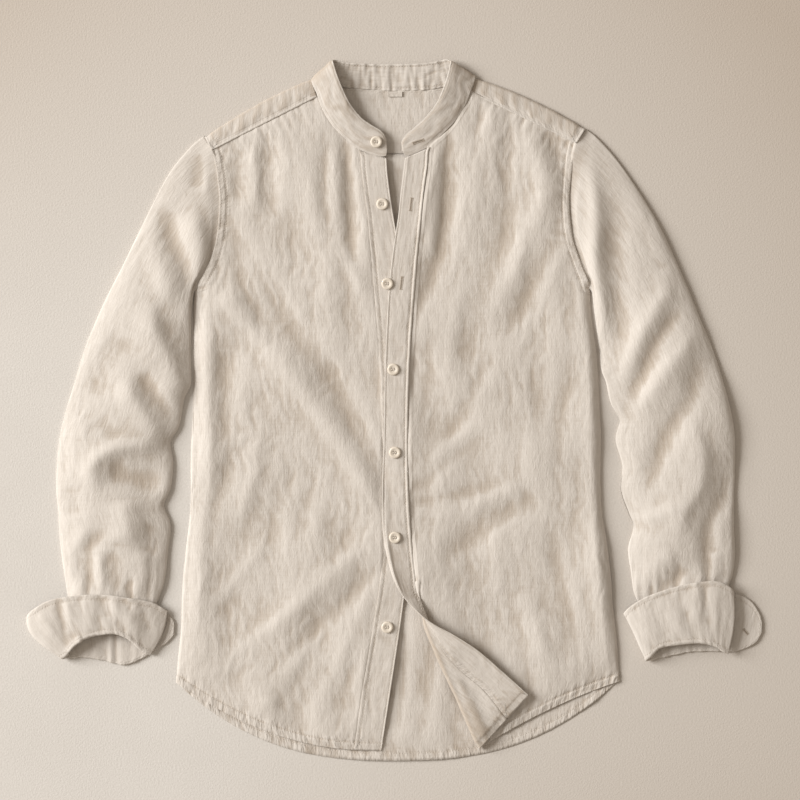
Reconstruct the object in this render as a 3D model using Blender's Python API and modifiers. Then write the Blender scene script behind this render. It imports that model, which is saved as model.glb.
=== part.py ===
"""A linen shirt with a band collar, laid out flat on its back.

Run with blender --background --python part.py, or from the text editor.
Sizes in the tables are millimetres; meshes are written in metres, +Z up. +X is the wearer's left
and +Y points to the collar. The origin is on the floor, under the back panel, on the centre line.
Every piece of cloth is an open sheet through rows of points, given its wall by Solidify.
"""

import math
from collections import namedtuple

import bmesh
import bpy
from mathutils import Vector

MM = 0.001

# ---- driving dimensions, in millimetres --------------------------------------------------------
WALL = 1.2              # thickness of every cloth wall
GAP = 0.3               # between two walls that are sewn or lie on each other
CLEAR = 0.5             # between the middle lines of two sloping edges, on top of the gap
PUFF = 3.5              # how far the fronts stand off the back
SIDE_ROLL = 26.0        # the fronts come down to the side edge over this width
SHOULDER_ROLL = 30.0    # and to the shoulder fold over this one
HEM_ROLL = 45.0         # and to the hem over this one
PLACKET_BLEND = 30.0    # the left front comes down from the placket to its own level over this
SLEEVE_HEIGHT = 13.0    # top of a sleeve over its lower layer
SLEEVE_EDGE = 2.6       # middle of a sleeve's folded edges
BAND_CROWN = 0.8        # how far the collar band bulges between its two edges
CUFF_PLY = 1.9          # between the two plies of a turned-back cuff
BUTTON_RADIUS = 7.0
BUTTON_THICKNESS = 2.6
LABEL_SIZE = (17.0, 6.0)
LABEL_PLACE = (-2.0, 373.0)

FLOOR_PLY = WALL / 2                    # middle of a wall that lies on the floor
FRONT_PLY = WALL * 1.5 + GAP            # middle of a front where it lies on the back
NEXT_PLY = WALL + CLEAR                 # from the middle of a sloping wall to the next one up
SEAM_HALF = GAP / 2 + 0.1               # each piece stops this short of its seam

# ---- tables: a row for each section across a piece, in millimetres ------------------------------
# A front's section runs from the armhole or side edge to the neck, placket seam or fold.
Front = namedtuple("Front", "side_x side_y centre_x centre_y sag")
RIGHT_FRONT = (
    Front(-218, 309, -94, 372, 0), Front(-214, 291, -89, 358, 0), Front(-211, 271, -81, 345, 0),
    Front(-209, 248, -70, 331, 0), Front(-210, 224, -58, 319, 0), Front(-213, 201, -44, 306, 0),
    Front(-219, 179, -41, 283, 0), Front(-228, 160, -38, 257, 0), Front(-236, 144, -34, 230, 0),
    Front(-240, 116, -31, 195, 0), Front(-241, 77, -27, 148, 0), Front(-241, 30, -22, 88, 0),
    Front(-242, -18, -18, 30, 0), Front(-243, -65, -17, -35, 0), Front(-244, -110, -15, -100, 0),
    Front(-248, -159, -15, -159, 2), Front(-253, -212, -21, -215, 4),
    Front(-255, -260, -30, -271, 8), Front(-258, -297, -40, -330, 13),
    Front(-260, -322, -50, -401, 17),
)
LEFT_FRONT = (
    Front(212, 317, 87, 377, 0), Front(208, 299, 83, 365, 0), Front(206, 276, 75, 352, 0),
    Front(204, 250, 65, 337, 0), Front(205, 227, 53, 324, 0), Front(208, 203, 39, 310, 0),
    Front(214, 183, 36, 286, 0), Front(221, 164, 32, 257, 0), Front(228, 145, 29, 228, 0),
    Front(232, 109, 25, 189, 0), Front(237, 71, 21, 142, 0), Front(240, 30, 17, 88, 0),
    Front(241, -18, 14, 30, 0), Front(242, -65, 13, -35, 0), Front(244, -118, 14, -100, 0),
    Front(248, -168, 18, -159, 0), Front(253, -215, 24, -212, 0), Front(257, -250, 33, -252, -1),
    Front(260, -277, 47, -286, -2), Front(261, -297, 62, -320, -3),
    Front(262, -310, 80, -358, -4), Front(263, -320, 99, -398, -6),
)
ARMHOLE_ROWS = 8        # sections of a front that end on the armhole, after the first
NECK_ROW = 5            # the section that starts at the foot of the collar band

# The strips down the centre: the free edge at each section of their front from NECK_ROW on.
Edge = namedtuple("Edge", "x y lift")
STAND_EDGE = (
    Edge(-12, 297, 0), Edge(-11, 281, 0), Edge(-8, 256, 0), Edge(-4, 230, 0), Edge(2, 195, 0),
    Edge(8, 148, 0), Edge(12, 88, 0), Edge(11, 30, 0), Edge(11, -35, 0), Edge(12, -100, 0),
    Edge(15, -162, 0), Edge(10, -212, 0), Edge(2, -271, 0), Edge(-7, -330, 0), Edge(-18, -402, 0),
)
PLACKET_EDGE = (
    Edge(10, 297, 0.5), Edge(8, 280, 0.5), Edge(5, 256, 0.4), Edge(2, 228, 0.2), Edge(-4, 189, 0),
    Edge(-9, 142, 0), Edge(-12, 88, 0), Edge(-14, 30, 0), Edge(-15, -35, 0), Edge(-17, -100, 0),
    Edge(-14, -159, 1.5), Edge(2, -211, 6.5), Edge(36, -246, 11), Edge(67, -264, 11),
    Edge(96, -283, 9.5), Edge(125, -308, 7.5), Edge(156, -336, 5.5),
)
# The corner of the left front that is turned back: at its last sections, where the turned cloth
# meets the placket, and how high it stands over the panel under it; nothing at the first of them.
Turn = namedtuple("Turn", "x y lift")
TURNED = (
    Turn(24, -212, 1.7), Turn(37, -247, 8.0), Turn(52, -280, 9.5), Turn(75, -306, 8.2), Turn(104, -331, 6.6),
    Turn(130, -364, 5.4),
)

# The back's sections run from one armhole or side edge to the other.
Back = namedtuple("Back", "right_x right_y left_x left_y sag")
BACK = (
    Back(-215.5, 302, 207.5, 302, 0), Back(-210.5, 274, 205, 276, 0),
    Back(-208.3, 247, 203.3, 250, 0), Back(-209.2, 224, 204.3, 226, 0),
    Back(-212.3, 201, 207.3, 203, 0), Back(-218.3, 179, 213.3, 182, 0),
    Back(-227.3, 160, 220.3, 163, 0), Back(-235.5, 143, 227.3, 144, 0),
    Back(-240, 114, 232, 109, 0), Back(-241, 77, 237, 71, 0), Back(-241, 30, 240, 30, 0),
    Back(-242, -18, 241, -18, 0), Back(-243, -65, 242, -65, 1), Back(-244, -110, 244, -118, 3),
    Back(-248, -159, 248, -168, 8), Back(-253, -212, 253, -215, 19),
    Back(-255, -260, 257, -260, 42), Back(-258, -297, 260, -297, 69),
    Back(-260, -323, 262, -321, 92),
)
BACK_HEM_POWER = 2.6    # a flat hem with round corners, where 2 would be a parabola

# The yoke: its shoulder folds, from the armhole to the neck, and its neck edge behind the band.
Shoulder = namedtuple("Shoulder", "arm_x arm_y neck_x neck_y bow")
RIGHT_SHOULDER = Shoulder(-226, 322, -100, 390, 5)
LEFT_SHOULDER = Shoulder(222, 331, 92, 391, 6)
YOKE_FOOT = 303.0
YOKE_SLANT = 13.0       # the armhole leans in by this much from the shoulder to the yoke's foot
NECK_EDGE = (
    (-86, 385.5), (-65, 381.4), (-31, 378.6), (4, 377.4), (34, 378.4), (57, 381.3), (76, 386),
)

# The collar band, from the right front end, round the back of the neck, to the left front end.
Band = namedtuple("Band", "top_x top_y top_z seam_x seam_y seam_z")
COLLAR_BAND = (
    Band(-11, 308, 7.4, -12, 300.5, 6.9), Band(-12, 319, 8.2, -18, 300, 7.0),
    Band(-18, 329, 9.0, -29, 303, 7.0), Band(-31, 337, 10.0, -43, 308.5, 7.2),
    Band(-42, 345, 11.5, -56, 318, 7.4), Band(-55, 361, 14.0, -74, 336, 7.6),
    Band(-64, 379, 15.5, -86, 355, 7.8), Band(-71, 397, 15.5, -93, 374, 7.8),
    Band(-74, 407, 14.0, -97.5, 384, 7.2), Band(-75.5, 413, 10.0, -99, 392, 4.6),
    Band(-71, 413, 6.2, -91, 389, 1.8), Band(-62, 410.5, 5.4, -72, 384, 0.7),
    Band(-43, 409, 4.8, -45, 381, FLOOR_PLY), Band(-19, 408, 4.4, -19, 379.2, FLOOR_PLY),
    Band(4, 408, 4.2, 4, 378.4, FLOOR_PLY), Band(28, 409, 4.4, 30, 379.3, FLOOR_PLY),
    Band(48, 411.5, 5.0, 50, 381.8, 0.7), Band(59, 414, 6.2, 70, 387.5, 1.8),
    Band(64, 412, 10.0, 90, 395, 4.6), Band(63, 406, 14.0, 89.5, 386, 7.2),
    Band(61, 397, 15.5, 86.5, 379, 7.8), Band(56, 381, 15.5, 80.5, 362, 7.8),
    Band(47, 361, 14.0, 68, 342, 7.6), Band(34, 345, 11.5, 53, 326, 7.4),
    Band(20, 332, 10.0, 38, 312.5, 7.2), Band(11, 325, 9.0, 24, 305, 7.0),
    Band(6, 317, 8.2, 14, 301, 7.0), Band(6, 308, 7.4, 9, 301, 6.9),
)

# A sleeve's sections run from its outer fold to its inner fold; height scales SLEEVE_HEIGHT.
Sleeve = namedtuple("Sleeve", "outer_x outer_y inner_x inner_y bow height floor")
RIGHT_SLEEVE = (
    Sleeve(-230, 324, -237.8, 145, 20, 0.30, 0), Sleeve(-265, 284, -239.6, 130, 18, 0.62, 0),
    Sleeve(-294, 230, -241.8, 109, 13, 0.80, 0), Sleeve(-322, 171, -242.6, 85, 8, 0.90, 0),
    Sleeve(-346, 124, -242.8, 59, 4, 1.00, 0), Sleeve(-366, 77, -243.4, 32, 1, 1.00, 0),
    Sleeve(-379, 35, -251, 13, 0, 1.00, 0), Sleeve(-391, -5, -257, -18, 0, 1.05, 0),
    Sleeve(-398, -35, -267, -38, 0, 1.10, 0), Sleeve(-401, -68, -264, -61, 0, 1.10, 0),
    Sleeve(-401, -94, -267, -91, 0, 1.05, 0), Sleeve(-399, -118, -275, -112, 0, 1.10, 0),
    Sleeve(-398, -142, -267, -136, 0, 1.10, 0), Sleeve(-395, -171, -270, -166, 0, 1.05, 0),
    Sleeve(-391, -196, -274, -199, 0, 0.98, 0), Sleeve(-388, -216, -281, -222, 0, 0.88, 1),
    Sleeve(-383, -240, -289, -242, 0, 0.82, 1),
)
LEFT_SLEEVE = (
    Sleeve(226, 332, 229.6, 142, -20, 0.30, 0), Sleeve(257, 299, 232, 127, -18, 0.62, 0),
    Sleeve(287, 256, 234.6, 109, -13, 0.80, 0), Sleeve(313, 212, 237.2, 90, -8, 0.90, 0),
    Sleeve(337, 159, 240, 71, -4, 1.00, 0), Sleeve(356, 113, 242.2, 48, -1, 1.00, 0),
    Sleeve(371, 77, 248, 33, 0, 1.00, 0), Sleeve(384, 38, 253, 9, 0, 1.05, 0),
    Sleeve(393, 0, 263, -12, 0, 1.10, 0), Sleeve(398, -35, 259, -35, 0, 1.10, 0),
    Sleeve(399, -71, 267, -66, 0, 1.10, 0), Sleeve(398, -100, 264, -94, 0, 1.05, 0),
    Sleeve(398, -124, 273, -122, 0, 1.10, 0), Sleeve(398, -144, 280, -138, 0, 1.10, 0),
    Sleeve(399, -172, 274, -163, 0, 1.05, 0), Sleeve(396, -195, 277, -189, 0, 0.98, 0),
    Sleeve(390, -212, 281, -217, 0, 0.88, 1), Sleeve(384, -236, 293, -240, 0, 0.82, 1),
)

# A turned-back cuff, once round: from the rounded end on the floor, along the lower side, over the
# inner or outer tip, and along the upper side to the other end. Free edge, mouth, and heights.
Cuff = namedtuple("Cuff", "free_x free_y mouth_x mouth_y free_z mouth_z")
RIGHT_CUFF = (
    Cuff(-262.5, -251, -263, -264, 0.6, 0.6), Cuff(-266, -244, -272, -274, 0.6, 0.6),
    Cuff(-276, -235, -288, -284, 0.6, 0.6), Cuff(-293, -233, -303, -293, 0.6, 0.6),
    Cuff(-320, -232, -322, -299, 0.6, 0.6), Cuff(-350, -231, -345, -294, 0.6, 0.6),
    Cuff(-380, -231, -368, -290, 0.6, 0.7), Cuff(-408, -235, -382, -291, 0.7, 0.8),
    Cuff(-427, -242, -390, -291.5, 1.3, 1.3), Cuff(-434.5, -244, -394, -293, 4.6, 4.6),
    Cuff(-434, -240, -394, -292, 8.8, 8.4), Cuff(-424, -232, -388, -288, 12.0, 11.0),
    Cuff(-406, -223, -378, -276, 13.6, 12.6), Cuff(-375, -218, -360, -266, 15.0, 14.5),
    Cuff(-344, -217, -336, -262, 15.5, 15.0), Cuff(-315, -221, -318, -267, 15.0, 13.5),
    Cuff(-292, -227, -303, -281, 12.0, 9.5), Cuff(-279, -234, -294, -287, 8.0, 7.0),
)
LEFT_CUFF = (
    Cuff(431, -250, 431, -261, 0.6, 0.6), Cuff(427, -237, 425, -272, 0.6, 0.6),
    Cuff(417, -223, 414, -279, 0.6, 0.6), Cuff(399, -214, 396, -284, 0.6, 0.6),
    Cuff(372, -213, 372, -283, 0.6, 0.6), Cuff(335, -217, 346, -284, 0.6, 0.6),
    Cuff(302, -227, 321, -289, 0.6, 0.7), Cuff(285, -234, 307, -292, 0.7, 0.8),
    Cuff(274, -239, 298, -294.5, 1.8, 1.9), Cuff(269, -240.5, 294, -295, 4.8, 4.6),
    Cuff(269.5, -237, 294.5, -293.5, 8.4, 7.8), Cuff(277, -230, 300, -289, 11.4, 10.4),
    Cuff(293, -220, 311, -279, 13.6, 12.6), Cuff(317, -211, 332, -275, 15.0, 14.0),
    Cuff(344, -204, 356, -273, 15.5, 14.5), Cuff(372, -201, 375, -277, 15.0, 13.0),
    Cuff(388, -205, 384, -283, 12.0, 9.5), Cuff(397, -213, 391, -286, 8.0, 7.0),
)

# The largest folds: a soft ridge, or a trough where the height is below zero, from one end to the
# other. The fronts' folds are few and low, as the panels lie on each other.
Fold = namedtuple("Fold", "from_x from_y to_x to_y width height")
BODY_FOLDS = (
    Fold(-212, 118, -128, 18, 17, 2.0), Fold(-128, 18, -34, -90, 20, 1.7),
    Fold(-224, 110, -222, -90, 13, 1.6), Fold(-200, 70, -200, -40, 15, -1.4),
    Fold(-222, -110, -238, -250, 14, 1.4), Fold(-30, -190, -165, -302, 14, 1.8),
    Fold(-52, -175, -190, -262, 13, -1.1), Fold(-28, -212, -95, -360, 12, 1.4),
    Fold(-160, 320, -150, 225, 13, 1.3), Fold(-62, 300, -40, 180, 10, 1.2),
    Fold(52, 300, 40, 190, 10, 1.3), Fold(72, 310, 58, 170, 12, -1.2),
    Fold(166, 300, 196, 200, 14, 1.5), Fold(150, 190, 110, 100, 16, 1.2),
    Fold(205, 250, 222, -260, 16, 1.7), Fold(30, -75, 120, 10, 14, 1.2),
    Fold(32, -120, 145, -60, 15, 1.4), Fold(60, -170, 150, -110, 14, -1.0),
    Fold(150, -210, 175, -300, 16, 1.2),
)
RIGHT_SLEEVE_FOLDS = (
    Fold(-262, 240, -236, 130, 12, 3.5), Fold(-290, 180, -262, 110, 14, -3.0),
    Fold(-330, 150, -262, 40, 18, 2.5), Fold(-300, 60, -256, 10, 12, 2.5),
    Fold(-268, 60, -250, 40, 14, -2.5), Fold(-330, 20, -268, -30, 14, 3.0),
    Fold(-385, 0, -372, -150, 16, 2.5), Fold(-352, -72, -276, -92, 13, -6.0),
    Fold(-352, -50, -280, -44, 13, 2.5), Fold(-350, -110, -330, -190, 14, 3.0),
    Fold(-377, -170, -362, -222, 9, -3.0), Fold(-350, -170, -352, -222, 8, 2.0),
    Fold(-300, -160, -318, -225, 10, 2.5), Fold(-336, -180, -318, -222, 8, -2.5),
)
LEFT_SLEEVE_FOLDS = (
    Fold(236, 300, 216, 200, 10, 2.0), Fold(262, 262, 262, 150, 14, -3.0),
    Fold(310, 200, 282, 90, 16, 2.5), Fold(270, 92, 306, 132, 12, 3.0),
    Fold(262, 30, 318, 112, 13, -2.5), Fold(266, -6, 330, 70, 11, 3.5),
    Fold(284, -10, 336, 60, 14, -2.5), Fold(262, -50, 330, -20, 14, 2.5),
    Fold(268, -92, 350, -54, 13, 3.0), Fold(284, -138, 372, -96, 13, 3.5),
    Fold(346, -124, 376, -190, 13, -5.0), Fold(330, -175, 370, -200, 14, 2.5),
    Fold(284, -196, 320, -176, 10, -2.0), Fold(388, 0, 390, -180, 9, 2.0),
)

# Buttons, from the collar down: place, and the pieces that may lie under each.
Button = namedtuple("Button", "x y on")
BUTTONS = (
    Button(-24, 316, ("collar_band",)), Button(-17, 243, ("button_stand", "right_front")),
    Button(-11, 149, ("button_stand", "buttonhole_placket")),
    Button(-4, 48, ("buttonhole_placket",)), Button(-2, -50, ("buttonhole_placket",)),
    Button(-2, -150, ("buttonhole_placket",)), Button(-11, -256, ("button_stand", "right_front")),
)

Finish = namedtuple("Finish", "colour roughness")
LINEN = Finish((0.72, 0.64, 0.54), 0.9)
LINEN_SHADE = Finish((0.66, 0.58, 0.48), 0.9)
LINEN_LIGHT = Finish((0.78, 0.71, 0.61), 0.9)
SHELL = Finish((0.82, 0.74, 0.63), 0.35)
FINISHES = {
    "back": LINEN_SHADE, "button_stand": LINEN_LIGHT, "buttonhole_placket": LINEN_LIGHT,
    "collar_band": LINEN_LIGHT, "right_cuff": LINEN_LIGHT, "left_cuff": LINEN_LIGHT,
    "neck_label": LINEN_LIGHT,
}


# ---- curves ------------------------------------------------------------------------------------
def between(a, b, t):
    return a + (b - a) * t


def ease(t):
    """0 to 1 with level ends."""
    t = min(max(t, 0.0), 1.0)
    return t * t * (3.0 - 2.0 * t)


def round_over(distance, width):
    """0 at an edge, rising to 1 at width from it, as a soft shoulder."""
    t = min(max(distance / width, 0.0), 1.0)
    return 1.0 - (1.0 - t) ** 2


def smooth(rows, at):
    """The values of a table at a row number that may be a fraction, on a Catmull-Rom curve."""
    last = len(rows) - 1
    i = min(int(at), last - 1)
    f = at - i
    before, here, after, beyond = (rows[min(max(i + k, 0), last)] for k in (-1, 0, 1, 2))
    return tuple(
        q + 0.5 * f * (r - p + f * (2 * p - 5 * q + 4 * r - s + f * (3 * (q - r) + s - p)))
        for p, q, r, s in zip(before, here, after, beyond)
    )


def level_at(points, value):
    """The second number of sorted pairs where the first is value, held at both ends."""
    for (a, p), (b, q) in zip(points, points[1:]):
        if value <= b:
            return between(p, q, min(max((value - a) / (b - a), 0.0), 1.0))
    return points[-1][1]


def row_numbers(rows, finer_from, finer):
    """Row numbers of a table, each interval from finer_from on cut into finer steps."""
    numbers = []
    for i in range(len(rows) - 1):
        steps = finer if i >= finer_from else 1
        numbers += [i + k / steps for k in range(steps)]
    return numbers + [len(rows) - 1]


def spaced_numbers(rows, longest):
    """Row numbers of a table of places, with one more half-way where two rows lie far apart."""
    numbers = []
    for i, (a, b) in enumerate(zip(rows, rows[1:])):
        numbers.append(i)
        if math.dist(a, b) > longest:
            numbers.append(i + 0.5)
    return numbers + [len(rows) - 1]


# ---- heights of the fronts ---------------------------------------------------------------------
RIGHT_SIDE = sorted((row.side_y, row.side_x) for row in RIGHT_FRONT[ARMHOLE_ROWS:])
LEFT_SIDE = sorted((row.side_y, row.side_x) for row in LEFT_FRONT[ARMHOLE_ROWS:])
UNDERARM = 145.0
HEM = (
    (-260, -322), (-185, -366), (-126, -389), (-52, -402), (99, -398), (146, -374), (216, -333),
    (263, -320),
)


def shoulder_point(shoulder, s):
    """Place on a shoulder fold, from 0 at the armhole to 1 at the neck."""
    x = between(shoulder.arm_x, shoulder.neck_x, s)
    return x, between(shoulder.arm_y, shoulder.neck_y, s) + shoulder.bow * 4 * s * (1 - s)


def shoulder_height(x):
    """Y of the shoulder fold at x; the neck has none, so the nearer shoulder's end counts."""
    shoulder = RIGHT_SHOULDER if x < 0 else LEFT_SHOULDER
    s = (x - shoulder.arm_x) / (shoulder.neck_x - shoulder.arm_x)
    return shoulder_point(shoulder, min(max(s, 0.0), 1.0))[1]


def relief(folds, x, y):
    """Sum of the folds at a place: each fades across its width and towards its ends."""
    total = 0.0
    for fold in folds:
        run_x, run_y = fold.to_x - fold.from_x, fold.to_y - fold.from_y
        length = math.hypot(run_x, run_y)
        along = ((x - fold.from_x) * run_x + (y - fold.from_y) * run_y) / length
        across = ((x - fold.from_x) * run_y - (y - fold.from_y) * run_x) / length
        past = max(-along, along - length, 0.0)
        total += fold.height * math.exp(-(across * across + past * past) / fold.width ** 2)
    return total


def front_height(x, y):
    """Middle of the fronts' wall over the floor."""
    over = 1.2 * max(y - UNDERARM, 0.0)
    side = min(x - level_at(RIGHT_SIDE, y), level_at(LEFT_SIDE, y) - x) + over
    rise = round_over(side, SIDE_ROLL)
    rise *= round_over((shoulder_height(x) - y) * 0.88, SHOULDER_ROLL)
    rise *= round_over(y - level_at(HEM, x), HEM_ROLL)
    return FRONT_PLY + rise * max(PUFF + relief(BODY_FOLDS, x, y), 0.6)


# ---- from rows of points to solids -------------------------------------------------------------
def finish_material(name, finish):
    material = bpy.data.materials.new(name)
    material.use_nodes = True
    shader = material.node_tree.nodes["Principled BSDF"]
    shader.inputs["Base Color"].default_value = (*finish.colour, 1.0)
    shader.inputs["Roughness"].default_value = finish.roughness
    shader.inputs["Metallic"].default_value = 0.0
    material.diffuse_color = (*finish.colour, 1.0)
    return material


def add_object(name, mesh, finish, collection):
    piece = bpy.data.objects.new(name, mesh)
    piece.data.materials.append(finish_material(name, finish))
    collection.objects.link(piece)
    return piece


def cloth(name, rows, finish, collection, closed=False):
    """An open sheet, or a tube where closed, through rows of points, with a wall round it.

    The rows run so that a sheet's upper side is on the left of them. Where the next row is
    shorter, the longer one's last points are a free edge.
    """
    bm = bmesh.new()
    grid = [[bm.verts.new([value * MM for value in point]) for point in row] for row in rows]
    for lower, upper in zip(grid, grid[1:]):
        columns = min(len(lower), len(upper))
        for i in range(columns if closed else columns - 1):
            j = (i + 1) % columns
            bm.faces.new((lower[i], lower[j], upper[j], upper[i]))
    mesh = bpy.data.meshes.new(name)
    bm.to_mesh(mesh)
    bm.free()
    mesh.shade_smooth()
    piece = add_object(name, mesh, finish, collection)
    wall = piece.modifiers.new("wall", "SOLIDIFY")
    wall.thickness = WALL * MM
    wall.offset = 0.0
    return piece


# ---- the body ----------------------------------------------------------------------------------
FRONT_COLUMNS = 15
TURN_COLUMNS = 3
ROLL_OUT = 1.6          # the roll's outside lies this far beyond the end of the panel under it
HIDDEN_TURN = 5.0       # the turned columns' width where nothing is turned yet


def front_row(table, number):
    """Both ends of a front's section and its sag, stopped short of the seams."""
    side_x, side_y, centre_x, centre_y, sag = smooth(table, number)
    length = math.hypot(centre_x - side_x, centre_y - side_y)
    short = SEAM_HALF / length
    start = (between(side_x, centre_x, short), between(side_y, centre_y, short))
    end = (between(centre_x, side_x, short), between(centre_y, side_y, short))
    return start, end, sag


def across(start, end, sag, t, power=2.0):
    """Place on a section that sags between its ends."""
    drop = sag * (1.0 - abs(2.0 * t - 1.0) ** power)
    return between(start[0], end[0], t), between(start[1], end[1], t) - drop


def right_front_rows():
    rows = []
    for number in row_numbers(RIGHT_FRONT, ARMHOLE_ROWS, 2):
        start, end, sag = front_row(RIGHT_FRONT, number)
        row = []
        for i in range(FRONT_COLUMNS + 1):
            x, y = across(start, end, sag, i / FRONT_COLUMNS)
            row.append((x, y, front_height(x, y)))
        rows.append(row)
    return rows


def over_stand(distance):
    """Extra height of the left front near the placket, which lies on the button stand."""
    return NEXT_PLY * (1.0 - ease(distance / PLACKET_BLEND))


def turn_at(number):
    """The turned cloth's end at a section of the left front, or None above the fold."""
    first = len(LEFT_FRONT) - len(TURNED)
    return Turn(*smooth(TURNED, number - first)) if number > first else None


def left_front_rows():
    """Sections from the armhole or side to the placket, the last ones over the fold and back."""
    rows = []
    for number in row_numbers(LEFT_FRONT, ARMHOLE_ROWS, 2):
        start, end, sag = front_row(LEFT_FRONT, number)
        turn = turn_at(number)
        hidden = 0.0 if turn else HIDDEN_TURN
        length = math.hypot(end[0] - start[0], end[1] - start[1])
        reach = 1.0 - hidden / length
        row = []
        for i in range(FRONT_COLUMNS + 1):
            t = i / FRONT_COLUMNS * reach
            x, y = across(start, end, sag, t)
            raised = 0.0 if turn else over_stand((1.0 - t) * length)
            row.append((x, y, front_height(x, y) + raised))
        if turn:
            row += turned_points(row[-1], turn)
        else:
            for i in range(1, TURN_COLUMNS + 1):
                x, y = across(start, end, sag, between(reach, 1.0, i / TURN_COLUMNS))
                row.append((x, y, front_height(x, y) + NEXT_PLY))
        rows.append(row[::-1])
    return rows


def turned_points(fold, turn):
    """From a front's section over its fold: the roll's outside, its top, and the placket seam."""
    run_x, run_y = turn.x - fold[0], turn.y - fold[1]
    length = math.hypot(run_x, run_y)
    out = min(ROLL_OUT, length / 4) / length
    return [
        (fold[0] - run_x * out, fold[1] - run_y * out, fold[2] + turn.lift * 0.5),
        (fold[0] + run_x * out, fold[1] + run_y * out, fold[2] + turn.lift * 0.9),
        (turn.x, turn.y, front_height(turn.x, turn.y) + turn.lift),
    ]


STRIP_COLUMNS = 4
TURN_EASE = 15.5        # section of the left front where the placket begins to lift


def stand_rows():
    """Button stand: from the right front's own edge to the free edge."""
    rows = []
    for number in row_numbers(STAND_EDGE, ARMHOLE_ROWS - NECK_ROW, 2):
        _, _, seam_x, seam_y, _ = smooth(RIGHT_FRONT, number + NECK_ROW)
        edge = Edge(*smooth(STAND_EDGE, number))
        short = SEAM_HALF / math.hypot(edge.x - seam_x, edge.y - seam_y)
        row = []
        for i in range(STRIP_COLUMNS + 1):
            t = between(short, 1.0, i / STRIP_COLUMNS)
            x, y = between(seam_x, edge.x, t), between(seam_y, edge.y, t)
            row.append((x, y, front_height(x, y)))
        rows.append(row)
    return rows


def placket_rows(front_rows):
    """Buttonhole placket: from the left front's edge to the free edge, over with the corner."""
    rows = []
    numbers = row_numbers(LEFT_FRONT, ARMHOLE_ROWS, 2)
    for number, front in zip(numbers, front_rows):
        if number < NECK_ROW:
            continue
        edge = Edge(*smooth(PLACKET_EDGE, number - NECK_ROW))
        seam = front[0]
        turn = turn_at(number)
        top = (edge.x, edge.y, front_height(edge.x, edge.y) + NEXT_PLY + edge.lift)
        length = math.dist(seam, top)
        short = (GAP + 0.1 + CLEAR * 2 * ease(number - TURN_EASE)) / length
        row = []
        for i in range(STRIP_COLUMNS + 1):
            t = between(short, 1.0, i / STRIP_COLUMNS)
            x, y = between(seam[0], top[0], t), between(seam[1], top[1], t)
            lying = front_height(x, y) + NEXT_PLY + edge.lift * t * t
            z = between(seam[2], top[2], t) if turn else max(lying, front_height(x, y) + NEXT_PLY)
            row.append((x, y, z))
        rows.append(row[::-1])
    return rows


def back_rows():
    rows = []
    columns = 14
    for number in row_numbers(BACK, 0, 1):
        right_x, right_y, left_x, left_y, sag = smooth(BACK, number)
        row = []
        for i in range(columns + 1):
            x, y = across((right_x, right_y), (left_x, left_y), sag, i / columns, BACK_HEM_POWER)
            row.append((x, y, FLOOR_PLY))
        rows.append(row)
    return rows


# ---- the yoke ----------------------------------------------------------------------------------
YOKE_FLAT = 4
SHOULDER_STATIONS = 7
YOKE_SEAM_SLACK = 0.2
# Round a shoulder fold: how far inside the fold line, and the height, up to the front seam.
ROUND_FOLD = ((8.0, FLOOR_PLY), (3.6, FLOOR_PLY), (1.2, 1.2), (0.0, 2.7), (1.4, 4.3))
UNDER_FOLD = 3          # of these points lie under the fold, beside the neck's flat rows


def yoke_over_shoulder(shoulder, front, s):
    """A row up the back of the shoulder, round its fold and down to the front seam."""
    fold_x, fold_y = shoulder_point(shoulder, s)
    inward = -math.copysign(1.0, shoulder.arm_x)
    end_x = between(front.side_x, front.centre_x, s)
    end_y = between(front.side_y, front.centre_y, s) + SEAM_HALF + YOKE_SEAM_SLACK
    lean = (end_x - fold_x) / (end_y - fold_y)
    path = [(fold_x - inside * lean, fold_y - inside, z) for inside, z in ROUND_FOLD]
    foot = (fold_x + inward * between(YOKE_SLANT, 1.0, s), YOKE_FOOT, FLOOR_PLY)
    return flat_run(foot, path[0]) + path + [(end_x, end_y, front_height(end_x, end_y))]


def flat_run(start, end):
    """Points from the foot of the yoke to just before the next point of a row."""
    return [tuple(between(a, b, i / YOKE_FLAT) for a, b in zip(start, end))
            for i in range(YOKE_FLAT)]


def yoke_at_neck(x, y):
    """A flat row from the foot of the yoke to the seam of the collar band."""
    end = [(x, y - inside, FLOOR_PLY) for inside, _ in ROUND_FOLD[:UNDER_FOLD - 1]]
    return flat_run((x, YOKE_FOOT, FLOOR_PLY), end[0]) + end + [(x, y, FLOOR_PLY)]


def yoke_rows():
    stations = [i / SHOULDER_STATIONS for i in range(SHOULDER_STATIONS + 1)]
    right, left = (
        [yoke_over_shoulder(shoulder, front, s) for s in stations]
        for shoulder, front in ((RIGHT_SHOULDER, RIGHT_FRONT[0]), (LEFT_SHOULDER, LEFT_FRONT[0]))
    )
    neck = [yoke_at_neck(x, y - YOKE_SEAM_SLACK) for x, y in NECK_EDGE]
    return right + neck + left[::-1]


# ---- the collar band ---------------------------------------------------------------------------
BAND_SPACING = 11.0     # rows of the band that lie farther apart than this get one between them


def band_row(number):
    """A section of the band from its seam to its top edge."""
    band = Band(*smooth(COLLAR_BAND, number))
    row = []
    for i in range(STRIP_COLUMNS + 1):
        t = between(0.012, 1.0, i / STRIP_COLUMNS)
        crown = BAND_CROWN * 4 * t * (1 - t) if band.top_z > 7 else 0.0
        row.append((between(band.seam_x, band.top_x, t), between(band.seam_y, band.top_y, t),
                    between(band.seam_z, band.top_z, t) + crown))
    return row


def band_rows():
    return [band_row(number) for number in spaced_numbers(COLLAR_BAND, BAND_SPACING)]


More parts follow.
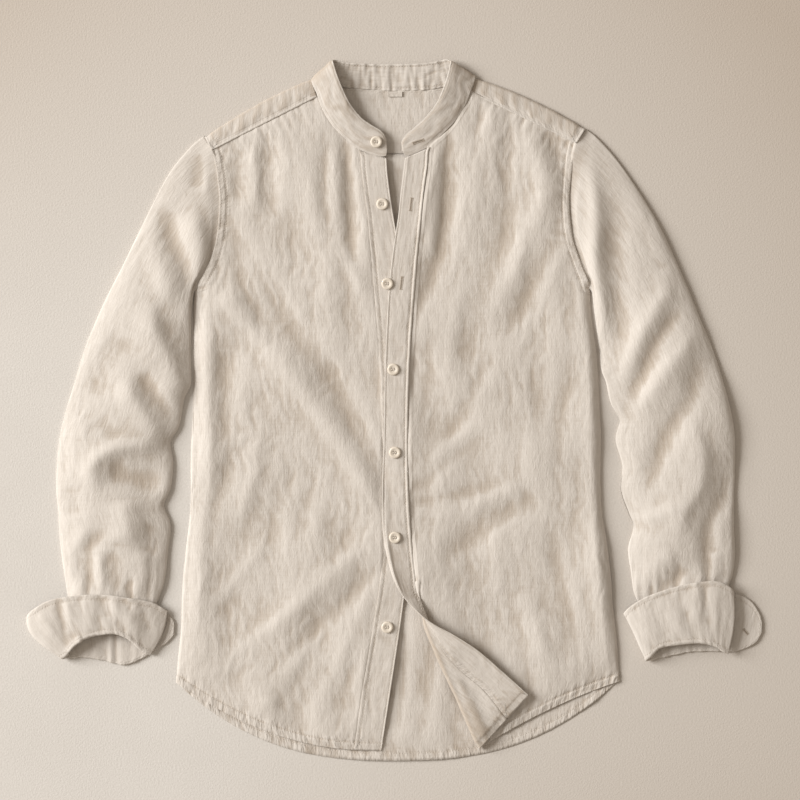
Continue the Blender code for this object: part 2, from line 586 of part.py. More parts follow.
# ---- the sleeves -------------------------------------------------------------------------------
LOWER_COLUMNS = (0.965, 0.80, 0.60, 0.40, 0.20, 0.035)
HEAD_RINGS = 3.0        # sections over which the armhole's shape fades into the sleeve's own
HEAD_REST = 3.2         # least height of the middle of the first ring's upper side
BESIDE_BODY = 1.4       # more room between the body and every ring but the first


def sleeve_rings(table, folds, front_rows, side):
    """Closed rings from the armhole into the cuff: the upper side first, then the lower one.

    The first ring's upper side is the front's armhole, moved out by the seam's gap. Side is 1
    for the left sleeve and -1 for the right one.
    """
    body = sorted((row[0][1], side * row[0][0]) for row in front_rows)
    armhole = front_rows[:ARMHOLE_ROWS + 1]
    head = sleeve_head(table[0], armhole, side)
    columns = len(head) - 1
    rings = []
    for number in row_numbers(table, 0, 2):
        cut = Sleeve(*smooth(table, number))
        own = min(number / HEAD_RINGS, 1.0)
        raised = NEXT_PLY * 1.15 * max(cut.floor, 0.0)
        upper, shares = [], []
        for i, seam in enumerate(head):
            at_seam = (seam[1] - head[0][1]) / (head[-1][1] - head[0][1])
            t = between(at_seam, (1 - math.cos(math.pi * i / columns)) / 2, own)
            x, y = sleeve_place(cut, t)
            first_x, first_y = sleeve_place(table[0], at_seam)
            x += (seam[0] - first_x) * (1.0 - own)
            y += (seam[1] - first_y) * (1.0 - own)
            room = BESIDE_BODY * min(number * 2, 1.0) * (1 + columns - i)
            beside = level_at(body, y) + GAP + CLEAR + room
            x = side * max(side * x, beside)
            arch = math.sin(math.pi * t) ** 0.62
            rise = cut.height * (SLEEVE_HEIGHT + relief(folds, x, y)) - SLEEVE_EDGE
            z = SLEEVE_EDGE + raised * 0.4 + arch * max(rise, 2.6)
            upper.append((x, y, z) if number else seam)
            shares.append((t, i))
        lower = []
        for t in LOWER_COLUMNS:
            x, y, _ = smooth(upper, level_at(shares, t))
            lower.append((x, y, FLOOR_PLY + raised))
        rings.append(upper + lower)
    return rings


def sleeve_place(cut, t):
    """Plan place across a section of a sleeve, from its outer fold to its inner one."""
    run_x, run_y = cut.inner_x - cut.outer_x, cut.inner_y - cut.outer_y
    bend = 4 * t * (1 - t) * cut.bow / math.hypot(run_x, run_y)
    return cut.outer_x + run_x * t - run_y * bend, cut.outer_y + run_y * t + run_x * bend


def sleeve_head(cut, armhole, side):
    """The first ring's upper side: shoulder point, yoke end, then the front's armhole."""
    moved = [(row[0][0] + side * (GAP + CLEAR), row[0][1], max(row[0][2], HEAD_REST))
             for row in armhole]
    shoulder = (cut.outer_x, cut.outer_y, SLEEVE_EDGE)
    yoke_end = tuple(between(a, b, 0.5) for a, b in zip(shoulder, moved[0]))
    return [shoulder, yoke_end] + moved


# ---- the cuffs ---------------------------------------------------------------------------------
OUTER_STEPS = (0.0, 0.34, 0.68, 0.95)
INNER_STEPS = (0.95, 0.55)
LONGEST_MITRE = 1.8     # in spacings of the plies
CUFF_SPACING = 17.0     # rows of a cuff that lie farther apart than this get one between them


def cuff_place(cut, t):
    """Middle of a cuff's outer ply at a section, from 0 at the free edge to 1 at the mouth."""
    return Vector((
        between(cut.free_x, cut.mouth_x, t), between(cut.free_y, cut.mouth_y, t),
        max(between(cut.free_z, cut.mouth_z, t), FLOOR_PLY),
    ))


def to_inner_ply(cuts, k, t):
    """From the outer ply to the inner one, mitred where the cuff folds over its tip."""
    here = cuff_place(cuts[k], t)
    down = cuff_place(cuts[k], 1.0) - cuff_place(cuts[k], 0.0)
    steps = []
    if k > 0:
        steps.append(here - cuff_place(cuts[k - 1], t))
    if k < len(cuts) - 1:
        steps.append(cuff_place(cuts[k + 1], t) - here)
    normals = [step.cross(down).normalized() for step in steps]
    mean = sum(normals, Vector()) / len(normals)
    return mean * min(CUFF_PLY / mean.length_squared, CUFF_PLY * LONGEST_MITRE)


def cuff_rows(table):
    """Rows round the cuff, each from the free edge down to the mouth and up inside."""
    cuts = [Cuff(*smooth(table, number)) for number in spaced_numbers(table, CUFF_SPACING)]
    rows = []
    for k, cut in enumerate(cuts):
        row = [cuff_place(cut, t) for t in OUTER_STEPS]
        row.append(cuff_place(cut, 1.0) + to_inner_ply(cuts, k, 1.0) / 2)
        row += [cuff_place(cut, t) + to_inner_ply(cuts, k, t) for t in INNER_STEPS]
        rows.append([tuple(point) for point in reversed(row)])
    return rows


# ---- buttons and label -------------------------------------------------------------------------
def highest(rows, x, y, reach):
    """Highest point of a sheet, between its rows too, within reach of a place."""
    steps = [k / 4 for k in range(5)]
    top = 0.0
    for row, upper in zip(rows, rows[1:]):
        for i in range(len(row) - 1):
            corners = (row[i], row[i + 1], upper[i], upper[i + 1])
            if min(math.hypot(px - x, py - y) for px, py, _ in corners) > reach * 3:
                continue
            for s in steps:
                for t in steps:
                    near, far = (tuple(between(p, q, s) for p, q in zip(*pair))
                                 for pair in (corners[:2], corners[2:]))
                    px, py, pz = (between(p, q, t) for p, q in zip(near, far))
                    if math.hypot(px - x, py - y) < reach:
                        top = max(top, pz)
    return top


def button_seat(button, sheets):
    """Height of the underside of a button over the cloth under it."""
    reach = BUTTON_RADIUS + 0.6
    top = max(highest(sheets[name], button.x, button.y, reach) for name in button.on)
    return top + WALL / 2 + GAP


def add_button(index, button, sheets, collection):
    """A turned button: a flat back, a thick round rim and a dished middle."""
    r, h = BUTTON_RADIUS, BUTTON_THICKNESS
    profile = (
        (0.0, h * 0.55), (r * 0.52, h * 0.6), (r * 0.66, h * 0.95), (r * 0.84, h),
        (r, h * 0.62), (r * 0.96, h * 0.2), (r * 0.8, 0.0), (0.0, 0.0),
    )
    bm = bmesh.new()
    verts = [bm.verts.new((x * MM, 0.0, z * MM)) for x, z in profile]
    for a, b in zip(verts, verts[1:]):
        bm.edges.new((a, b))
    mesh = bpy.data.meshes.new(f"button_{index}")
    bm.to_mesh(mesh)
    bm.free()
    piece = add_object(f"button_{index}", mesh, SHELL, collection)
    piece.location = (button.x * MM, button.y * MM, button_seat(button, sheets) * MM)
    screw = piece.modifiers.new("turned", "SCREW")
    screw.steps = screw.render_steps = 14
    screw.use_merge_vertices = True
    screw.merge_threshold = 0.00002
    screw.use_normal_calculate = True
    screw.use_normal_flip = False
    return piece


def label_rows():
    """A bare woven tab under the back neck seam."""
    width, height = LABEL_SIZE
    x, y = LABEL_PLACE
    z = WALL + GAP + WALL / 2
    return [[(x + (i - 1) * width / 2, y + (j - 1) * height / 2, z) for i in range(3)]
            for j in range(3)]


# ---- the whole shirt ---------------------------------------------------------------------------
def main():
    for piece in list(bpy.data.objects):
        bpy.data.objects.remove(piece, do_unlink=True)
    shirt = bpy.data.collections.new("band_collar_shirt")
    bpy.context.scene.collection.children.link(shirt)

    left = left_front_rows()
    right = right_front_rows()
    sheets = {
        "back": back_rows(),
        "yoke": yoke_rows(),
        "right_front": right,
        "button_stand": stand_rows(),
        "left_front": left,
        "buttonhole_placket": placket_rows(left),
        "collar_band": band_rows(),
        "right_cuff": cuff_rows(RIGHT_CUFF),
        "left_cuff": cuff_rows(LEFT_CUFF),
        "neck_label": label_rows(),
    }
    for name, rows in sheets.items():
        cloth(name, rows, FINISHES.get(name, LINEN), shirt)
    tubes = {
        "right_sleeve": sleeve_rings(RIGHT_SLEEVE, RIGHT_SLEEVE_FOLDS, right, -1),
        "left_sleeve": sleeve_rings(LEFT_SLEEVE, LEFT_SLEEVE_FOLDS, [row[::-1] for row in left], 1),
    }
    for name, rings in tubes.items():
        cloth(name, rings, LINEN, shirt, closed=True)
    for index, button in enumerate(BUTTONS, start=1):
        add_button(index, button, sheets, shirt)


main()
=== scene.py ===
"""A washed linen shirt with a band collar, laid out flat on its back.

Each piece of cloth is a grid of points in millimetres with its own flat cloth coordinates. Folds,
crinkles, seams and puckers raise or lower the grid along its own normals before it becomes a thin
shell. +X is the wearer's left, +Y points to the collar and +Z is up.
"""

from __future__ import annotations

import logging
import math
from collections.abc import Callable
from dataclasses import dataclass, field
from enum import Enum

import bpy
import numpy as np
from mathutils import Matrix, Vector


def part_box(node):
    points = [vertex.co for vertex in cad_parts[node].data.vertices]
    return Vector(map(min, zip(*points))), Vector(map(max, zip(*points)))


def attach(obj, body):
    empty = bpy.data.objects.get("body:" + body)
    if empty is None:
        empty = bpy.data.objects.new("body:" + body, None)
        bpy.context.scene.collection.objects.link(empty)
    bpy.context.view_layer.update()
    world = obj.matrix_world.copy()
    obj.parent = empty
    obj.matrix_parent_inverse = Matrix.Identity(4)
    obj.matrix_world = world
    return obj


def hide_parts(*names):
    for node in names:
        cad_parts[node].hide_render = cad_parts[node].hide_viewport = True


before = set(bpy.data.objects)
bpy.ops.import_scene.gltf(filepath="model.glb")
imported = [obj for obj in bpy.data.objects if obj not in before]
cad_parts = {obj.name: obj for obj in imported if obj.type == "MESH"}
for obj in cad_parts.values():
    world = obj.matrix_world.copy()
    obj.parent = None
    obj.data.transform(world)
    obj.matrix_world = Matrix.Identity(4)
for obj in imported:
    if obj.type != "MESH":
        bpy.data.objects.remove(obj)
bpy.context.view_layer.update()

Array = np.ndarray
LOG = logging.getLogger("shirt")
MM = 0.001
ROOT = "root"

# ---- sizes shared with the solids, in millimetres ----------------------------------------------
SHELL = 0.9             # thickness of a shown wall of cloth
STRIP_WALL = 1.2        # and of a folded strip with its lining
FLOOR_PLY = 0.6         # middle of a wall that lies on the floor
FRONT_PLY = 2.1         # middle of a front where it lies on the back
NEXT_PLY = 1.7          # from the middle of a sloping wall to the next one up
UNDER_STEP = 0.75       # how far a sewn edge dips under the piece that covers it
COVERED = 3.0           # and how far it reaches under it
ARMHOLE_BAND = 8.5      # from an edge to its row of stitches, at an armhole
HEM_BAND = 9.0          # and at a hem
EDGE_STITCH = 1.6       # and of a row right beside an edge
FREE_BAND = 2.4         # and at the free edge of a strip

# A front's section: side end, centre end, and how far it sags between them.
RIGHT_FRONT = (
    (-218, 309, -94, 372, 0), (-214, 291, -89, 358, 0), (-211, 271, -81, 345, 0),
    (-209, 248, -70, 331, 0), (-210, 224, -58, 319, 0), (-213, 201, -44, 306, 0),
    (-219, 179, -41, 283, 0), (-228, 160, -38, 257, 0), (-236, 144, -34, 230, 0),
    (-240, 116, -31, 195, 0), (-241, 77, -27, 148, 0), (-241, 30, -22, 88, 0),
    (-242, -18, -18, 30, 0), (-243, -65, -17, -35, 0), (-244, -110, -15, -100, 0),
    (-248, -159, -15, -159, 2), (-253, -212, -21, -215, 4), (-255, -260, -30, -271, 8),
    (-258, -297, -40, -330, 13), (-260, -322, -50, -401, 17),
)
LEFT_FRONT = (
    (212, 317, 87, 377, 0), (208, 299, 83, 365, 0), (206, 276, 75, 352, 0), (204, 250, 65, 337, 0),
    (205, 227, 53, 324, 0), (208, 203, 39, 310, 0), (214, 183, 36, 286, 0), (221, 164, 32, 257, 0),
    (228, 145, 29, 228, 0), (232, 109, 25, 189, 0), (237, 71, 21, 142, 0), (240, 30, 17, 88, 0),
    (241, -18, 14, 30, 0), (242, -65, 13, -35, 0), (244, -118, 14, -100, 0),
    (248, -168, 18, -159, 0), (253, -215, 24, -212, 0), (257, -250, 33, -252, -1),
    (260, -277, 47, -286, -2), (261, -297, 62, -320, -3), (262, -310, 80, -358, -4),
    (263, -320, 99, -398, -6),
)
ARMHOLE_ROWS = 8
NECK_ROW = 5
ROLL_ROW = 15.6         # where the left front's edge starts to roll back

# Free edges of the two strips down the centre, from the neck row on: place and lift.
STAND_EDGE = (
    (-12, 297, 0), (-11, 281, 0), (-8, 256, 0), (-4, 230, 0), (2, 195, 0), (8, 148, 0),
    (12, 88, 0), (11, 30, 0), (11, -35, 0), (12, -100, 0), (15, -162, 0), (10, -212, 0),
    (2, -271, 0), (-7, -330, 0), (-18, -402, 0),
)
PLACKET_EDGE = (
    (10, 297, 0.5), (8, 280, 0.5), (5, 256, 0.4), (2, 228, 0.2), (-4, 189, 0), (-9, 142, 0),
    (-12, 88, 0), (-14, 30, 0), (-15, -35, 0), (-17, -100, 0), (-14, -159, 1.5), (2, -211, 6.5),
    (36, -246, 11), (67, -264, 11), (96, -283, 9.5), (125, -308, 7.5), (156, -336, 5.5),
)
# The corner that is turned back, at the left front's last sections: its end and its lift.
TURNED = (
    (24, -212, 1.7), (37, -247, 8.0), (52, -280, 9.5), (75, -306, 8.2), (104, -331, 6.6),
    (130, -364, 5.4),
)

BACK = (
    (-215.5, 302, 207.5, 302, 0), (-210.5, 274, 205, 276, 0), (-208.3, 247, 203.3, 250, 0),
    (-209.2, 224, 204.3, 226, 0), (-212.3, 201, 207.3, 203, 0), (-218.3, 179, 213.3, 182, 0),
    (-227.3, 160, 220.3, 163, 0), (-235.5, 143, 227.3, 144, 0), (-240, 114, 232, 109, 0),
    (-241, 77, 237, 71, 0), (-241, 30, 240, 30, 0), (-242, -18, 241, -18, 0),
    (-243, -65, 242, -65, 1), (-244, -110, 244, -118, 3), (-248, -159, 248, -168, 8),
    (-253, -212, 253, -215, 19), (-255, -260, 257, -260, 42), (-258, -297, 260, -297, 69),
    (-260, -323, 262, -321, 92),
)

# Shoulder folds: the armhole end, the neck end, and how far they bow up between them.
RIGHT_SHOULDER = (-226, 322, -100, 390, 5)
LEFT_SHOULDER = (222, 331, 92, 391, 6)
NECK_EDGE = (
    (-86, 385.5), (-65, 381.4), (-31, 378.6), (4, 377.4), (34, 378.4), (57, 381.3), (76, 386),
)
ROUND_FOLD = ((8.0, 0.6), (3.6, 0.6), (1.2, 1.2), (0.0, 2.7), (1.4, 4.3))
YOKE_FOOT = 303.0
YOKE_SLANT = 13.0

# The collar band: its top edge and its seam, once round the neck.
COLLAR_BAND = (
    (-11, 308, 7.4, -12, 300.5, 6.9), (-12, 319, 8.2, -18, 300, 7.0),
    (-18, 329, 9.0, -29, 303, 7.0), (-31, 337, 10.0, -43, 308.5, 7.2),
    (-42, 345, 11.5, -56, 318, 7.4), (-55, 361, 14.0, -74, 336, 7.6),
    (-64, 379, 15.5, -86, 355, 7.8), (-71, 397, 15.5, -93, 374, 7.8),
    (-74, 407, 14.0, -97.5, 384, 7.2), (-75.5, 413, 10.0, -99, 392, 4.6),
    (-71, 413, 6.2, -91, 389, 1.8), (-62, 410.5, 5.4, -72, 384, 0.7),
    (-43, 409, 4.8, -45, 381, 0.6), (-19, 408, 4.4, -19, 379.2, 0.6), (4, 408, 4.2, 4, 378.4, 0.6),
    (28, 409, 4.4, 30, 379.3, 0.6), (48, 411.5, 5.0, 50, 381.8, 0.7),
    (59, 414, 6.2, 70, 387.5, 1.8), (64, 412, 10.0, 90, 395, 4.6), (63, 406, 14.0, 89.5, 386, 7.2),
    (61, 397, 15.5, 86.5, 379, 7.8), (56, 381, 15.5, 80.5, 362, 7.8),
    (47, 361, 14.0, 68, 342, 7.6), (34, 345, 11.5, 53, 326, 7.4), (20, 332, 10.0, 38, 312.5, 7.2),
    (11, 325, 9.0, 24, 305, 7.0), (6, 317, 8.2, 14, 301, 7.0), (6, 308, 7.4, 9, 301, 6.9),
)

# A sleeve's section: outer fold, inner fold, bow, height share, and its lift off the floor.
RIGHT_SLEEVE = (
    (-230, 324, -237.8, 145, 20, 0.30, 0), (-265, 284, -239.6, 130, 18, 0.62, 0),
    (-294, 230, -241.8, 109, 13, 0.80, 0), (-322, 171, -242.6, 85, 8, 0.90, 0),
    (-346, 124, -242.8, 59, 4, 1.00, 0), (-366, 77, -243.4, 32, 1, 1.00, 0),
    (-379, 35, -251, 13, 0, 1.00, 0), (-391, -5, -257, -18, 0, 1.05, 0),
    (-398, -35, -267, -38, 0, 1.10, 0), (-401, -68, -264, -61, 0, 1.10, 0),
    (-401, -94, -267, -91, 0, 1.05, 0), (-399, -118, -275, -112, 0, 1.10, 0),
    (-398, -142, -267, -136, 0, 1.10, 0), (-395, -171, -270, -166, 0, 1.05, 0),
    (-391, -196, -274, -199, 0, 0.98, 0), (-388, -216, -281, -222, 0, 0.88, 1),
    (-383, -240, -289, -242, 0, 0.82, 1),
)
LEFT_SLEEVE = (
    (226, 332, 229.6, 142, -20, 0.30, 0), (257, 299, 232, 127, -18, 0.62, 0),
    (287, 256, 234.6, 109, -13, 0.80, 0), (313, 212, 237.2, 90, -8, 0.90, 0),
    (337, 159, 240, 71, -4, 1.00, 0), (356, 113, 242.2, 48, -1, 1.00, 0),
    (371, 77, 248, 33, 0, 1.00, 0), (384, 38, 253, 9, 0, 1.05, 0), (393, 0, 263, -12, 0, 1.10, 0),
    (398, -35, 259, -35, 0, 1.10, 0), (399, -71, 267, -66, 0, 1.10, 0),
    (398, -100, 264, -94, 0, 1.05, 0), (398, -124, 273, -122, 0, 1.10, 0),
    (398, -144, 280, -138, 0, 1.10, 0), (399, -172, 274, -163, 0, 1.05, 0),
    (396, -195, 277, -189, 0, 0.98, 0), (390, -212, 281, -217, 0, 0.88, 1),
    (384, -236, 293, -240, 0, 0.82, 1),
)

# A turned-back cuff, once round: free edge, mouth, and the heights of both.
RIGHT_CUFF = (
    (-262.5, -251, -263, -264, 0.6, 0.6), (-266, -244, -272, -274, 0.6, 0.6),
    (-276, -235, -288, -284, 0.6, 0.6), (-293, -233, -303, -293, 0.6, 0.6),
    (-320, -232, -322, -299, 0.6, 0.6), (-350, -231, -345, -294, 0.6, 0.6),
    (-380, -231, -368, -290, 0.6, 0.7), (-408, -235, -382, -291, 0.7, 0.8),
    (-427, -242, -390, -291.5, 1.3, 1.3), (-434.5, -244, -394, -293, 4.6, 4.6),
    (-434, -240, -394, -292, 8.8, 8.4), (-424, -232, -388, -288, 12.0, 11.0),
    (-406, -223, -378, -276, 13.6, 12.6), (-375, -218, -360, -266, 15.0, 14.5),
    (-344, -217, -336, -262, 15.5, 15.0), (-315, -221, -318, -267, 15.0, 13.5),
    (-288, -226.5, -301, -282, 9.5, 8.0), (-270, -237, -290, -288, 5.0, 4.8),
)
LEFT_CUFF = (
    (431, -250, 431, -261, 0.6, 0.6), (427, -237, 425, -272, 0.6, 0.6),
    (417, -223, 414, -279, 0.6, 0.6), (399, -214, 396, -284, 0.6, 0.6),
    (372, -213, 372, -283, 0.6, 0.6), (335, -217, 346, -284, 0.6, 0.6),
    (302, -227, 321, -289, 0.6, 0.7), (285, -234, 307, -292, 0.7, 0.8),
    (274, -239, 298, -294.5, 1.8, 1.9), (269, -240.5, 294, -295, 4.8, 4.6),
    (269.5, -237, 294.5, -293.5, 8.4, 7.8), (277, -230, 300, -289, 11.4, 10.4),
    (293, -220, 311, -279, 13.6, 12.6), (317, -211, 332, -275, 15.0, 14.0),
    (344, -204, 356, -273, 15.5, 14.5), (372, -201, 375, -277, 15.0, 13.6),
    (388, -205, 384, -283, 13.2, 12.0), (397, -213, 391, -286, 10.6, 9.6),
)

HEM = (
    (-260, -322), (-185, -366), (-126, -389), (-52, -402), (99, -398), (146, -374), (216, -333),
    (263, -320),
)


class Side(Enum):
    """The wearer's right or left, as the sign of X."""

    RIGHT = -1
    LEFT = 1


@dataclass(frozen=True)
class Crease:
    """A soft ridge, or a trough where the height is below zero, from one end to the other.

    Bow pushes its middle aside and skew makes one flank steeper than the other.
    """

    from_x: float
    from_y: float
    to_x: float
    to_y: float
    width: float
    height: float
    bow: float = 0.0
    skew: float = 0.0


@dataclass(frozen=True)
class Fold:
    """A soft ridge or trough along a curve through a few points, with the same skew."""

    points: tuple
    width: float
    height: float
    skew: float = 0.0


def creases(*rows: tuple) -> tuple:
    """A table of creases and folds; a row that starts with a tuple of points is a fold."""
    return tuple((Fold if isinstance(row[0], tuple) else Crease)(*row) for row in rows)


# The largest folds of the solids come first in each table, then the finer creases between them.
BODY_CREASES = creases(
    (-206, 142, -150, 78, 15, 3.4), (-150, 78, -78, -18, 15, 3.4), (-78, -18, -29, -100, 13, 2.4),
    (-196, 215, -126, 106, 14, -2.4), (-126, 106, -73, 35, 14, -3.0),
    (-73, 35, -10, -94, 13, -3.0), (-224, 110, -222, -90, 13, 3.0),
    (-200, 70, -200, -40, 15, -2.6), (-222, -110, -238, -250, 14, 2.6),
    (-37, -159, -173, -283, 14, 2.3), (-14, -179, -143, -304, 10, -1.7),
    (-28, -212, -95, -360, 12, 1.8), (-168, 315, -166, 238, 9, 2.2),
    (-147, 315, -147, 238, 9, -1.8), (-189, 300, -187, 245, 8, -1.4),
    (-62, 300, -40, 180, 10, 1.4), (52, 300, 40, 190, 10, 1.6), (72, 310, 58, 170, 12, -1.4),
    (158, 330, 176, 262, 13, 2.6), (176, 262, 160, 212, 13, 2.6), (160, 212, 116, 118, 13, 2.2),
    (184, 330, 200, 262, 10, -2.2), (200, 262, 190, 202, 11, -2.2), (190, 202, 134, 94, 11, -1.8),
    (228, 150, 237, -30, 19, 3.6), (237, -30, 247, -290, 19, 3.6), (51, -53, 99, -18, 12, 1.7),
    (77, -120, 146, -87, 13, 2.2), (60, -170, 150, -110, 14, -1.9),
    (150, -210, 175, -300, 16, 2.3), (-74, 300, -64, 190, 9, 1.6), (-64, 190, -36, 135, 9, 1.3),
    (-190, -47, -226, -178, 10, -1.8, 6), (-203, -224, -200, -283, 9, -0.8),
    (-155, 330, -152, 240, 9, -0.8, 3), (-58, 322, -50, 170, 8, -0.8, 3),
    (-110, 300, -95, 190, 12, 1.3, -4), (-178, 262, -170, 160, 12, 1.4, 4),
    (-128, 250, -118, 130, 9, -0.5, -3), (-80, 210, -62, 60, 12, 1.3, 4),
    (-188, 175, -150, 80, 10, -1.4), (-105, 150, -96, 80, 10, -1.1),
    (-160, -10, -185, -130, 13, 2.3, -5), (-120, -60, -150, -170, 11, -1.4, 4),
    (-78, -60, -100, -160, 12, 1.4), (-45, -120, -80, -190, 9, -0.6),
    (-60, -230, -140, -355, 8, -0.8), (-100, -220, -215, -310, 9, 0.6, 4),
    (-150, -150, -215, -230, 10, 1.1), (-180, -300, -240, -320, 8, 0.4),
    (-30, -250, -42, -370, 7, 0.6, 3), (-44, -250, -70, -380, 7, -0.5),
    (69, 360, 69, 255, 9, -0.9), (69, 255, 18, 100, 10, -1.9, -4), (48, 307, 28, 212, 8, 0.8),
    (100, 330, 96, 240, 11, 1.4, 3), (128, 300, 122, 180, 10, -1.3, -4),
    (-54, 290, -48, 195, 8, -1.4), (102, 362, 102, 338, 6, -0.9), (150, 240, 142, 150, 10, 1.1),
    (80, 150, 62, 30, 12, 1.4, 4), (110, 60, 60, -40, 10, -1.3), (178, 120, 168, 0, 12, -1.1, 3),
    (18, -104, 92, -26, 8, -0.8), (22, -110, 146, -84, 8, -0.7), (150, 30, 160, -80, 12, 1.3),
    (196, 20, 190, -130, 10, -1.4, 3), (110, -120, 120, -230, 12, 1.3, -4),
    (80, -140, 92, -210, 9, -0.6), (180, -140, 205, -260, 10, -1.3),
    (146, -250, 158, -330, 9, -0.4), (210, -200, 226, -300, 9, 0.6), (235, -30, 240, -180, 7, 0.4),
    (46, -140, 62, -215, 7, 0.6, 3), (-52, 307, -37, 212, 5, 1.0), (-61, 319, -52, 177, 6, -1.0),
    (-72, 318, -74, 200, 7, 0.8), (-84, 330, -88, 230, 6, -0.7), (48, 309, 28, 212, 6, 1.2),
    (62, 340, 50, 177, 6, -1.2), (78, 354, 70, 224, 8, 0.9), (98, 360, 95, 300, 6, -1.2),
    (114, 350, 112, 250, 7, 0.8), (136, 340, 130, 262, 7, -0.7), (-6, -290, -6, -372, 9, 0.4),
    (-153, -335, -147, -384, 13, 2.6), (-123, -342, -119, -392, 13, -0.9),
    (-100, -340, -92, -390, 12, 1.0), (40, -330, 30, -390, 9, 0.5), (18, -290, 20, -380, 8, -0.4),
)
TAIL_CREASES = creases(
    (26, -190, 8, -385, 7, 0.8), (44, -225, 28, -388, 6, -0.7), (2, -260, -6, -384, 6, 0.7),
    (14, -250, 2, -380, 5, -0.6), (60, -270, 46, -390, 7, 0.7), (76, -300, 66, -388, 6, -0.6),
)
RIGHT_SLEEVE_CREASES = creases(
    (((-233, 304), (-234, 260)), 10, -4.2), (((-224, 307), (-225, 254)), 7, 2.7),
    (((-248, 297), (-267, 269), (-284, 236)), 14, 3.6),
    (((-244, 238), (-227, 179), (-224, 127)), 15, 5.5, 0.5),
    (((-276, 244), (-265, 206), (-248, 165), (-238, 125)), 12, -4.4),
    (((-291, 234), (-291, 201), (-276, 159), (-258, 124)), 15, 3.6),
    (((-296, 130), (-285, 94), (-265, 50), (-248, -5)), 15, 5.2, 0.5),
    (((-242, 111), (-240, 42)), 12, -3.4), (((-314, 92), (-336, 57), (-359, 14)), 23, -3.3),
    (((-342, 100), (-371, 30)), 11, 1.4), (((-326, 35), (-293, -14), (-272, -42)), 14, 4.3, 0.5),
    (((-305, 47), (-258, -14)), 10, -3.2), (((-373, -6), (-378, -35)), 10, 1.8),
    (((-352, -9), (-326, -35)), 11, -1.1),
    (((-270, -44), (-314, -42), (-345, -51), (-360, -71), (-352, -97)), 10, 3.8),
    (((-343, -68), (-312, -79), (-272, -87)), 15, -4.6),
    (((-318, -104), (-317, -130), (-319, -159)), 18, 3.4),
    (((-289, -130), (-291, -175)), 10, -1.8), (((-384, -87), (-378, -127)), 12, -2.2),
    (((-343, -139), (-364, -170), (-356, -217)), 10, -2.5),
    (((-362, -139), (-388, -172), (-373, -217)), 9, 2.1), (((-350, -170), (-349, -212)), 6, 1.7),
    (((-335, -163), (-330, -215)), 9, -1.5), (((-313, -198), (-313, -224)), 7, -1.4),
    (((-297, -163), (-300, -219)), 10, 2.5), (-384, -186, -378, -222, 5, 1.4),
    (-318, -206, -310, -224, 4, -1.0),
)
LEFT_SLEEVE_CREASES = creases(
    (((226, 307), (232, 266), (235, 218), (233, 175), (240, 118), (246, 71)), 10, 4.6),
    (((257, 262), (260, 218), (258, 177), (259, 130), (263, 83), (259, 42)), 15, -4.6),
    (((287, 269), (306, 229), (327, 175)), 17, 3.2), (((316, 170), (320, 127)), 9, 1.3),
    (((323, 149), (299, 109), (278, 71), (264, 26)), 12, 3.2),
    (((337, 125), (306, 77), (273, 9)), 11, -3.5),
    (((360, 104), (337, 68), (305, 30), (271, -24)), 14, 4, -0.5),
    (((356, 64), (346, 12), (320, -26), (301, -71), (278, -104)), 14, -3.4),
    (((384, 52), (394, -26)), 12, 2.1),
    (((346, -17), (360, -53), (357, -88), (337, -118), (331, -149)), 13, 3.4, 0.5),
    (((391, -47), (389, -94), (370, -130), (368, -168), (384, -210)), 12, -4.2),
    (((397, -106), (396, -186)), 6, 1.6), (((375, -165), (376, -203)), 8, 2.9),
    (((327, -164), (283, -208)), 12, 2.4), (((346, -184), (297, -227)), 10, -2.7),
    (((287, -133), (306, -123), (332, -112)), 9, 1.7), (((287, -73), (273, -42)), 9, 1.1),
    (300, -204, 308, -226, 4, -1.2), (318, -192, 322, -216, 5, 1.0),
)
RIGHT_CUFF_CREASES = creases(
    (((-384, -288), (-378, -276), (-368, -268)), 6, 3.4), (-372, -292, -362, -272, 5, -1.6),
    (-398, -226, -390, -262, 6, -1.4), (-388, -224, -380, -250, 6, 1.2),
    (-420, -238, -402, -266, 8, 1.4), (-362, -220, -364, -262, 10, 1.0),
    (-346, -219, -340, -246, 7, -1.1), (-336, -221, -326, -240, 5, 1.0),
    (-330, -246, -318, -262, 6, -0.9), (-322, -222, -312, -236, 5, -0.9),
    (-318, -238, -302, -262, 7, 1.1), (-310, -228, -300, -240, 5, 0.8),
    (-352, -240, -346, -262, 5, -0.8), (-300, -236, -290, -262, 6, -0.9),
)
LEFT_CUFF_CREASES = creases(
    (286, -232, 306, -276, 8, 0.6), (300, -224, 318, -268, 7, -0.6),
    (316, -218, 326, -258, 8, 0.5), (334, -212, 340, -246, 6, -0.5),
    (352, -206, 354, -244, 7, 0.9), (364, -204, 366, -256, 6, -0.9),
    (341, -236, 352, -268, 6, -0.8), (330, -232, 334, -262, 6, 0.8),
    (374, -204, 378, -250, 6, 0.4), (384, -214, 384, -266, 6, -0.4),
)


# ---- curves and noise --------------------------------------------------------------------------
def between(start: Array | float, end: Array | float, share: Array | float) -> Array | float:
    """Value at a share of the way from start to end."""
    return start + (end - start) * share


def ease(share: Array | float) -> Array:
    """0 to 1 with level ends, held outside them."""
    held = np.clip(share, 0.0, 1.0)
    return held * held * (3.0 - 2.0 * held)


def round_over(distance: Array, width: float) -> Array:
    """0 at an edge, rising to 1 at width from it, as a soft shoulder."""
    return 1.0 - (1.0 - np.clip(distance / width, 0.0, 1.0)) ** 2


def not_below(height: Array, floor: float, soft: float) -> Array:
    """The height, held above a floor with a soft bend."""
    return floor + soft * np.logaddexp(0.0, (height - floor) / soft)


